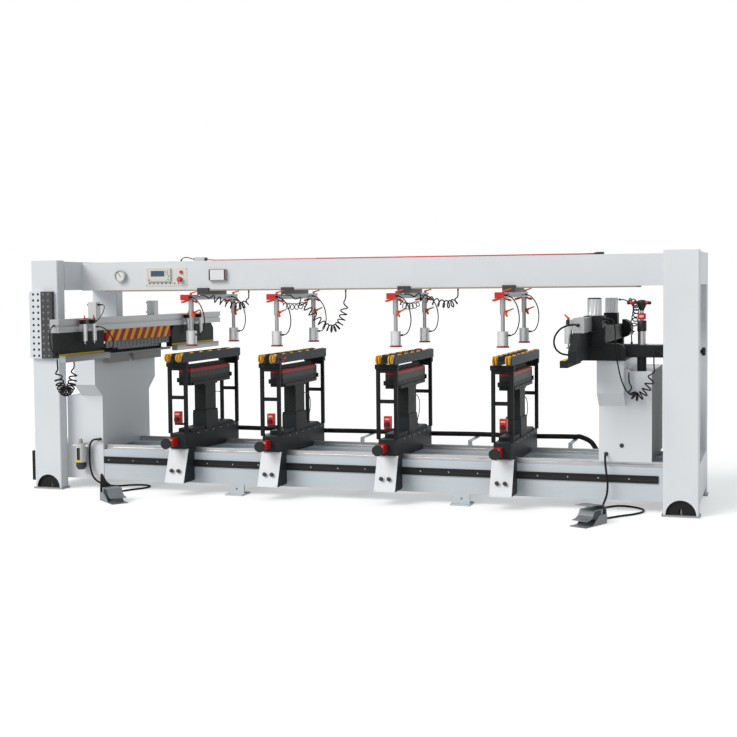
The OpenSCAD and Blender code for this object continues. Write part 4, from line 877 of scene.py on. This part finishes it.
def arm_finish(name, x):
    """Extrusion, stems and cylinders in aluminium, with the bracket, valve block and levers over it."""
    arm = anodised(name, (0.33, 0.345, 0.36))
    arm.coat(arm.z < 1.401, (0.42, 0.415, 0.42), 0.35, 0.75)
    arm.coat(arm.z < 1.1771, (0.7, 0.71, 0.72), 0.34, 0.6)
    bracket = (arm.z > 1.43805) * arm.y.within(front + 0.327, front + 0.656)
    arm.coat(bracket, (0.04, 0.038, 0.037), 0.45, 0.1)
    arm.coat(arm.y < front + 0.07246, (0.55, 0.01, 0.014), 0.35, 0.0)
    levers = ((arm.z > 1.43805) | (arm.z.within(1.2945, 1.4) * (arm.x - x > 0.0191)))
    levers = levers * (1 - arm.y.within(front + 0.3, front + 0.68))
    arm.coat(levers * (arm.y > front + 0.0726), lever_orange, 0.35, 0.0)
    fitting = (arm.x - x > 0.02505) * arm.z.within(1.42, 1.44)
    fitting = fitting * arm.y.within(front + 0.19, front + 0.215)
    arm.coat(fitting, (0.3, 0.3, 0.31), 0.3, 0.9)
    return arm


pad_red = Finish("press_pad", (0.5, 0.01, 0.014), 0.5)
pad_red.drift(0.06, 0.02)
pad_red.coat(pad_red.z > 1.0781, (0.6, 0.61, 0.62), 0.2, 0.95)
grip = [(5, 0), (6, 8), (8, 26), (8.5, 44), (6, 54), (2, 57)]
droop = (0.45, -0.35, -0.82)
stem_y = (130.5, 880.5)
for k, x in enumerate(arm_x, 1):
    dress(arm_finish(f"arm{k}_finish", x), f"unit{k}_press_arm")
    dress(pad_red, f"unit{k}_press_rods")
    mid = 1000 * x
    grips = [disc(grip, (mid + 12, y - 12, 1322), droop, 14) for y in stem_y]
    grips += [disc(grip, (mid - s, y - 8, 1396), (-s, -8, -4), 14) for y in stem_y for s in (-16, 16)]
    piece(f"arm{k}_levers", grips, lever_moulding, f"arm{k}")


# Coiled air hoses: black tube wound on a former, hanging from outlets under the beam to the press arms,
# and in loops below the fences. Each leaves its fitting straight, and curls up over its first turns.
hose_black = Finish("hose_black", (0.01, 0.01, 0.011), 0.4, 0.0, "hose_black")
hose_black.gloss = 0.15
hose_black.drift(0.2, 0.02)
hose_black.coat((hose_black.cloud(0.006) > 0.62) * 0.3, (0.03, 0.03, 0.03), 0.55)


def tube(path, radius, sides):
    """Round tube: a ring square to the path at each station, its side carried on with least turn."""
    path = np.asarray(path, float)
    heading = unit(np.gradient(path, axis=0))
    heading[0], heading[-1] = unit(path[1] - path[0]), unit(path[-1] - path[-2])
    side = np.empty_like(heading)
    carried = np.cross(heading[0], up if abs(heading[0, 2]) < 0.9 else right)
    for i, way in enumerate(heading):
        carried = unit(carried - carried @ way * way)
        side[i] = carried
    turn = np.linspace(0, 2 * np.pi, sides, endpoint=False)[None, :, None]
    over = np.cross(heading, side)
    points = path[:, None] + radius * (np.cos(turn) * side[:, None] + np.sin(turn) * over[:, None])
    return points.reshape(-1, 3), *rings(len(path), sides)


def curled(start, out, end, back, reach, belly, turns, hose=0.008, coil=0.04):
    """A helix round a hanging line, a cubic curve that leaves each end straight and sags by the belly.

    The helix winds up slowly and opens as a half wave over its first and last three turns.
    """
    start, out, end, back = (np.asarray(v, float) for v in (start, out, end, back))
    a, b = start + 2 * hose * out, end + 2 * hose * back
    c, d = a + reach * out, b + reach * back

    def line(t):
        u = 1 - t
        return (u**3 * a + 3 * t * u**2 * c + 3 * t**2 * u * d + t**3 * b
                - np.array((0, 0, 16 * belly)) * t**2 * u**2)

    per_turn, ramp = 28, 3
    t = np.linspace(0, 1, turns * per_turn + 1)[:, None]
    heading = unit(line(t + 0.001) - line(t - 0.001))
    s = turns * t
    late = turns - ramp - (turns - s) ** 2 / (2 * ramp)
    wound = np.where(s < ramp, s**2 / (2 * ramp), np.where(s > turns - ramp, late, s - ramp / 2))
    spread = coil / 4 * (1 - np.cos(np.pi * np.minimum(ramp, np.minimum(s, turns - s)) / ramp))
    across = unit(np.cross(b - a, up))
    w = unit(np.cross(heading, across))
    turn = 2 * np.pi * wound
    curl = line(t) + spread * (np.cos(turn) * np.cross(w, heading) + np.sin(turn) * w)
    return np.concatenate([[start, start + hose * out], curl, [end + hose * back, end]])


def hose(name, path, diameter, sides, body="frame", stiffness="medium", node=None, lay="hanging",
         finish=hose_black):
    """A hose along a path; it can stand for a CAD solid."""
    made = piece(name, [tube(path, diameter / 2, sides)], finish, body, node)
    return made


outlet_x = (-0.836, -0.081, 0.748)
drops = ((0.14, 0.02, 12), (0.24, 0.15, 18), (0.15, 0.01, 12))
for k, (x, outlet, drop) in enumerate(zip(arm_x, outlet_x, drops), 1):
    arm_end = (x + 0.039, front + 0.2025, 1.431)
    beam_end = (outlet, front + 0.4175, 1.451)
    route = curled(arm_end, right, beam_end, down, *drop, 0.009, 0.05)
    coil = hose(f"arm{k}_coil", route, 0.009, 10, None, "limp", f"arm{k}_hose")
    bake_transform(coil)

left_route = curled((-1.865, front - 0.546, 0.998), down, (-1.865, front - 0.328, 0.998), down,
                    0.28, 0.0, 17, 0.01, 0.056)
hose("left_fence_coil", left_route, 0.01, 12, "frame", "limp", "left_fence_hose")
right_route = curled((2.123, front + 0.07, 1.036), down, (1.967, front + 0.045, 0.916), down,
                     0.25, 0.0, 11, 0.009, 0.05)
hose("right_fence_coil", right_route, 0.009, 10, "right_end", "limp", "right_fence_hose")


# Short hoses: black tube with pressed sleeves from the valve blocks and bars to the press cylinders
# and to the clamps on both fences, and a cable from each boring head to its slide.
def smooth(points, steps=8):
    """Curve through chosen points with Catmull-Rom steps, straight along its first and last stretch."""
    points = machine(points)
    inner = points[1:-1]
    ends = np.concatenate([inner[:1], inner, inner[-1:]])
    a, b, c, d = (ends[i:len(ends) - 3 + i, None] for i in range(4))
    t = np.linspace(0, 1, steps, endpoint=False)[None, :, None]
    bend = 0.5 * (2 * b + (c - a) * t + (2 * a - 5 * b + 4 * c - d) * t**2
                  + (3 * b - a - 3 * c + d) * t**3)
    return np.concatenate([points[:1], bend.reshape(-1, 3), inner[-1:], points[-1:]])


def sleeves(path, radius):
    """A stepped turned sleeve on each end of a path, along its first and last stretch."""
    steps = np.array([(1.25, 0.0), (1.45, 0.0008), (1.45, 0.008), (1.7, 0.009), (1.7, 0.013),
                      (1.1, 0.015)])
    steps[:, 0] *= radius
    return [turned(steps, path[0], path[1] - path[0], 16),
            turned(steps, path[-1], path[-2] - path[-1], 16)]


front_loop = np.array([
    (32.5, 46, 1420), (48, 46, 1419), (78, 52, 1402), (104, 66, 1362), (116, 86, 1310),
    (116, 106, 1255), (104, 122, 1205), (82, 130, 1166), (58, 130.5, 1151), (37.2, 130.5, 1150)])
rear_loop = np.array([
    (25.2, 780, 1420), (42, 780, 1418), (72, 792, 1400), (100, 815, 1355), (112, 838, 1300),
    (110, 858, 1240), (96, 872, 1190), (76, 880, 1160), (56, 880.5, 1151), (37.2, 880.5, 1150)])
for k, x in enumerate(arm_x, 1):
    fittings = []
    for name, loop in (("front", front_loop), ("rear", rear_loop)):
        path = smooth(loop + (1000 * x, 0, 0))
        hose(f"arm{k}_{name}_hose", path, 0.008, 12, f"arm{k}")
        fittings += sleeves(path, 0.0045)
    if k in (2, 3):
        path = curled((x, front + 0.24, 1.4009), down, (x, front + 0.76, 1.4009), down,
                      0.06, 0.0, 9, 0.006, 0.044)
        hose(f"arm{k}_cross_hose", path, 0.006, 10, f"arm{k}", "limp")
        fittings += sleeves(path, 0.0045)
    piece(f"arm{k}_fittings", fittings, knob_black, f"arm{k}")

clamp_hose = [
    (-1820, -15, 1372), (-1808, -15, 1372), (-1786, -26, 1364), (-1774, -52, 1338), (-1772, -84, 1304),
    (-1778, -112, 1276), (-1788, -130, 1260), (-1797.5, -139, 1253)]
clamp_loop = [
    (-1790.2, -140, 1215), (-1776, -140, 1216), (-1748, -132, 1212), (-1726, -104, 1190),
    (-1718, -60, 1150), (-1724, -16, 1105), (-1744, 16, 1070), (-1770, 32, 1054), (-1812, 38, 1050),
    (-1839.8, 38, 1050)]
end_hose = [
    (-1875, -560.2, 1235), (-1875, -574, 1234), (-1877, -596, 1220), (-1880, -608, 1185),
    (-1880, -610, 1135), (-1876, -606, 1090), (-1868, -592, 1055), (-1865, -574, 1042),
    (-1865, -560.2, 1041)]
trim = []
for name, diameter, points in (("left_clamp_hose", 0.006, clamp_hose),
                               ("left_clamp_loop", 0.008, clamp_loop),
                               ("left_end_hose", 0.008, end_hose)):
    path = smooth(points)
    hose(name, path, diameter, 12)
    trim += sleeves(path, diameter * 0.56)
elbow = [(8, 0), (8, 8), (6, 10), (6, 22)]
trim += [disc(elbow, (-1842.4, -15, 1372), right, 16)]
trim += [disc(elbow, (-1907.6, y, z), left, 16) for y, z in ((-15, 1372), (895, 1375), (895, 1300))]
piece("left_fence_fittings", trim, knob_black)
right_loop = smooth([
    (1705, -370.2, 1232), (1704, -386, 1234), (1690, -416, 1238), (1655, -438, 1236),
    (1610, -446, 1216), (1576, -442, 1176), (1564, -432, 1128), (1576, -418, 1086),
    (1606, -405, 1060), (1645, -397, 1051), (1669.8, -395, 1050)])
right_drop = smooth([
    (1827, 60, 1262), (1842, 60, 1262), (1868, 40, 1250), (1886, -10, 1200), (1894, -50, 1120),
    (1902, -62, 1030), (1916, -60, 940), (1936, -48, 860), (1958, -15, 805), (1978, 36, 776),
    (1989, 78, 772), (1990, 104.6, 772)])
hose("right_drop_hose", right_drop, 0.009, 12, "right_end")
right_upper = curled(machine((1790, 990, 1376)), right, machine((1965, 230, 1092.2)), up,
                     0.18, 0.0, 13)
hose("right_upper_coil", right_upper, 0.008, 10, "right_end", "limp")
right_ends = sleeves(right_loop, 0.0064) + sleeves(right_drop, 0.0052) + sleeves(right_upper, 0.0048)
hose("right_clamp_hose", right_loop, 0.012, 14, "right_end")
piece("right_hose_fittings", right_ends, knob_black, "right_end")

cable_points = np.array([
    (20, 545.2, 690), (20, 562, 691), (23, 610, 700), (28, 660, 690), (32, 694, 655),
    (32, 708, 606), (26, 706, 556), (19, 702, 522), (15, 700, 490), (15, 700, 470.2)])
for k, x in enumerate(unit_x, 1):
    path = smooth(cable_points + (1000 * x, 0, 0))
    lead = hose(f"unit{k}_cable", path, 0.006, 10, None)
    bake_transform(lead)
    gland = [disc([(10, 0), (10, 7), (7, 10), (6, 18)], (1000 * x + 15, 700, 470), up, 16)]
    piece(f"unit{k}_cable_gland", gland, knob_black, f"unit{k}")


# Air line on the beam: a thin red tube with black sleeves from one junction box to the other, and a
# short cable from the left box into the beam.
line_red = moulded("air_line_red", (0.62, 0.06, 0.055), 0.35, "hose_black")
line_red.coat(line_red.x < -0.3, (0.74, 0.22, 0.22), 0.4)
air_line = smooth([
    (-1214.8, 491, 1702), (-1198, 491, 1702), (-1160, 470, 1697), (-1100, 432, 1693),
    (-1020, 415, 1692.4), (-600, 412, 1692.4), (-100, 416, 1692.4), (400, 412, 1692.4),
    (900, 416, 1692.4), (1350, 420, 1692.4), (1520, 450, 1693), (1610, 530, 1695),
    (1645, 575, 1697), (1672, 590, 1698), (1686.8, 591, 1698)], 10)
hose("air_line", air_line, 0.01, 12, lay="loose", finish=line_red)
box_lead = smooth([
    (-1295.2, 480, 1704), (-1308, 480, 1704), (-1326, 470, 1709), (-1343, 455, 1716),
    (-1360, 440, 1716), (-1375, 428, 1708), (-1382, 423, 1698), (-1384, 422, 1687.2)])
hose("box_lead", box_lead, 0.007, 10, stiffness="limp", lay="loose")
piece("beam_line_fittings", sleeves(air_line, 0.0056) + sleeves(box_lead, 0.004), knob_black)


# Pedal hoses and conduit: smooth black hoses from the elbow and the grommet along the floor to the
# pedals, and a thick conduit over the saddles behind the bed.
port = [(0, 144, 20), (0, 120.02, 20)]
pedal_hose = 0.014
left_floor = smooth([
    (-1926, 80, 372), (-1938, 80, 372), (-1960, 80, 366), (-1978, 79, 349), (-1988, 78, 322),
    (-1990, 75, 250), (-1980, 68, 160), (-1948, 64, 85), (-1900, 110, 35), (-1835, 200, 10),
    (-1750, 280, 8), (-1660, 300, 8), (-1590, 260, 8), (-1585, 180, 8), (-1640, 90, 8),
    (-1690, -20, 8), (-1700, -120, 8), (-1688, -215, 12), *on_pedal(port, left_pedal)], 12)
hose("left_pedal_lead", left_floor, pedal_hose, 16, "frame", "limp", "left_pedal_hose", "loose")
right_floor = smooth([
    (1815, 97.95, 378), (1815, 82, 378), (1815, 56, 372), (1816, 40, 354), (1818, 34, 326),
    (1824, 34, 270), (1832, 38, 200), (1826, 46, 120), (1800, 70, 50), (1782, 115, 15),
    (1800, 200, 8), (1870, 280, 8), (1960, 270, 8), (2040, 190, 8), (2050, 90, 8), (2000, -10, 8),
    (1930, -90, 8), (1872, -170, 8), (1845, -232, 14), *on_pedal(port, right_pedal)], 12)
right_lead = hose("right_pedal_lead", right_floor, pedal_hose, 16, None, "limp", "right_pedal_hose",
                  "loose")
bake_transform(right_lead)
conduit = smooth([
    (-1620, 750.02, 220), (-1620, 785, 220), (-1600, 890, 262), (-1540, 965, 338),
    (-1420, 985, 377), (-860, 985, 380), (-480, 985, 377), (-75, 985, 380), (340, 985, 376),
    (750, 985, 380), (1100, 985, 376), (1400, 985, 380), (1480, 985, 380), (1520, 985, 380),
    (1600, 965, 344), (1662, 890, 262), (1680, 785, 220), (1680, 750.02, 220)], 16)
hose("conduit", conduit, 0.036, 24, "frame", "stiff", "rear_conduit", "loose")
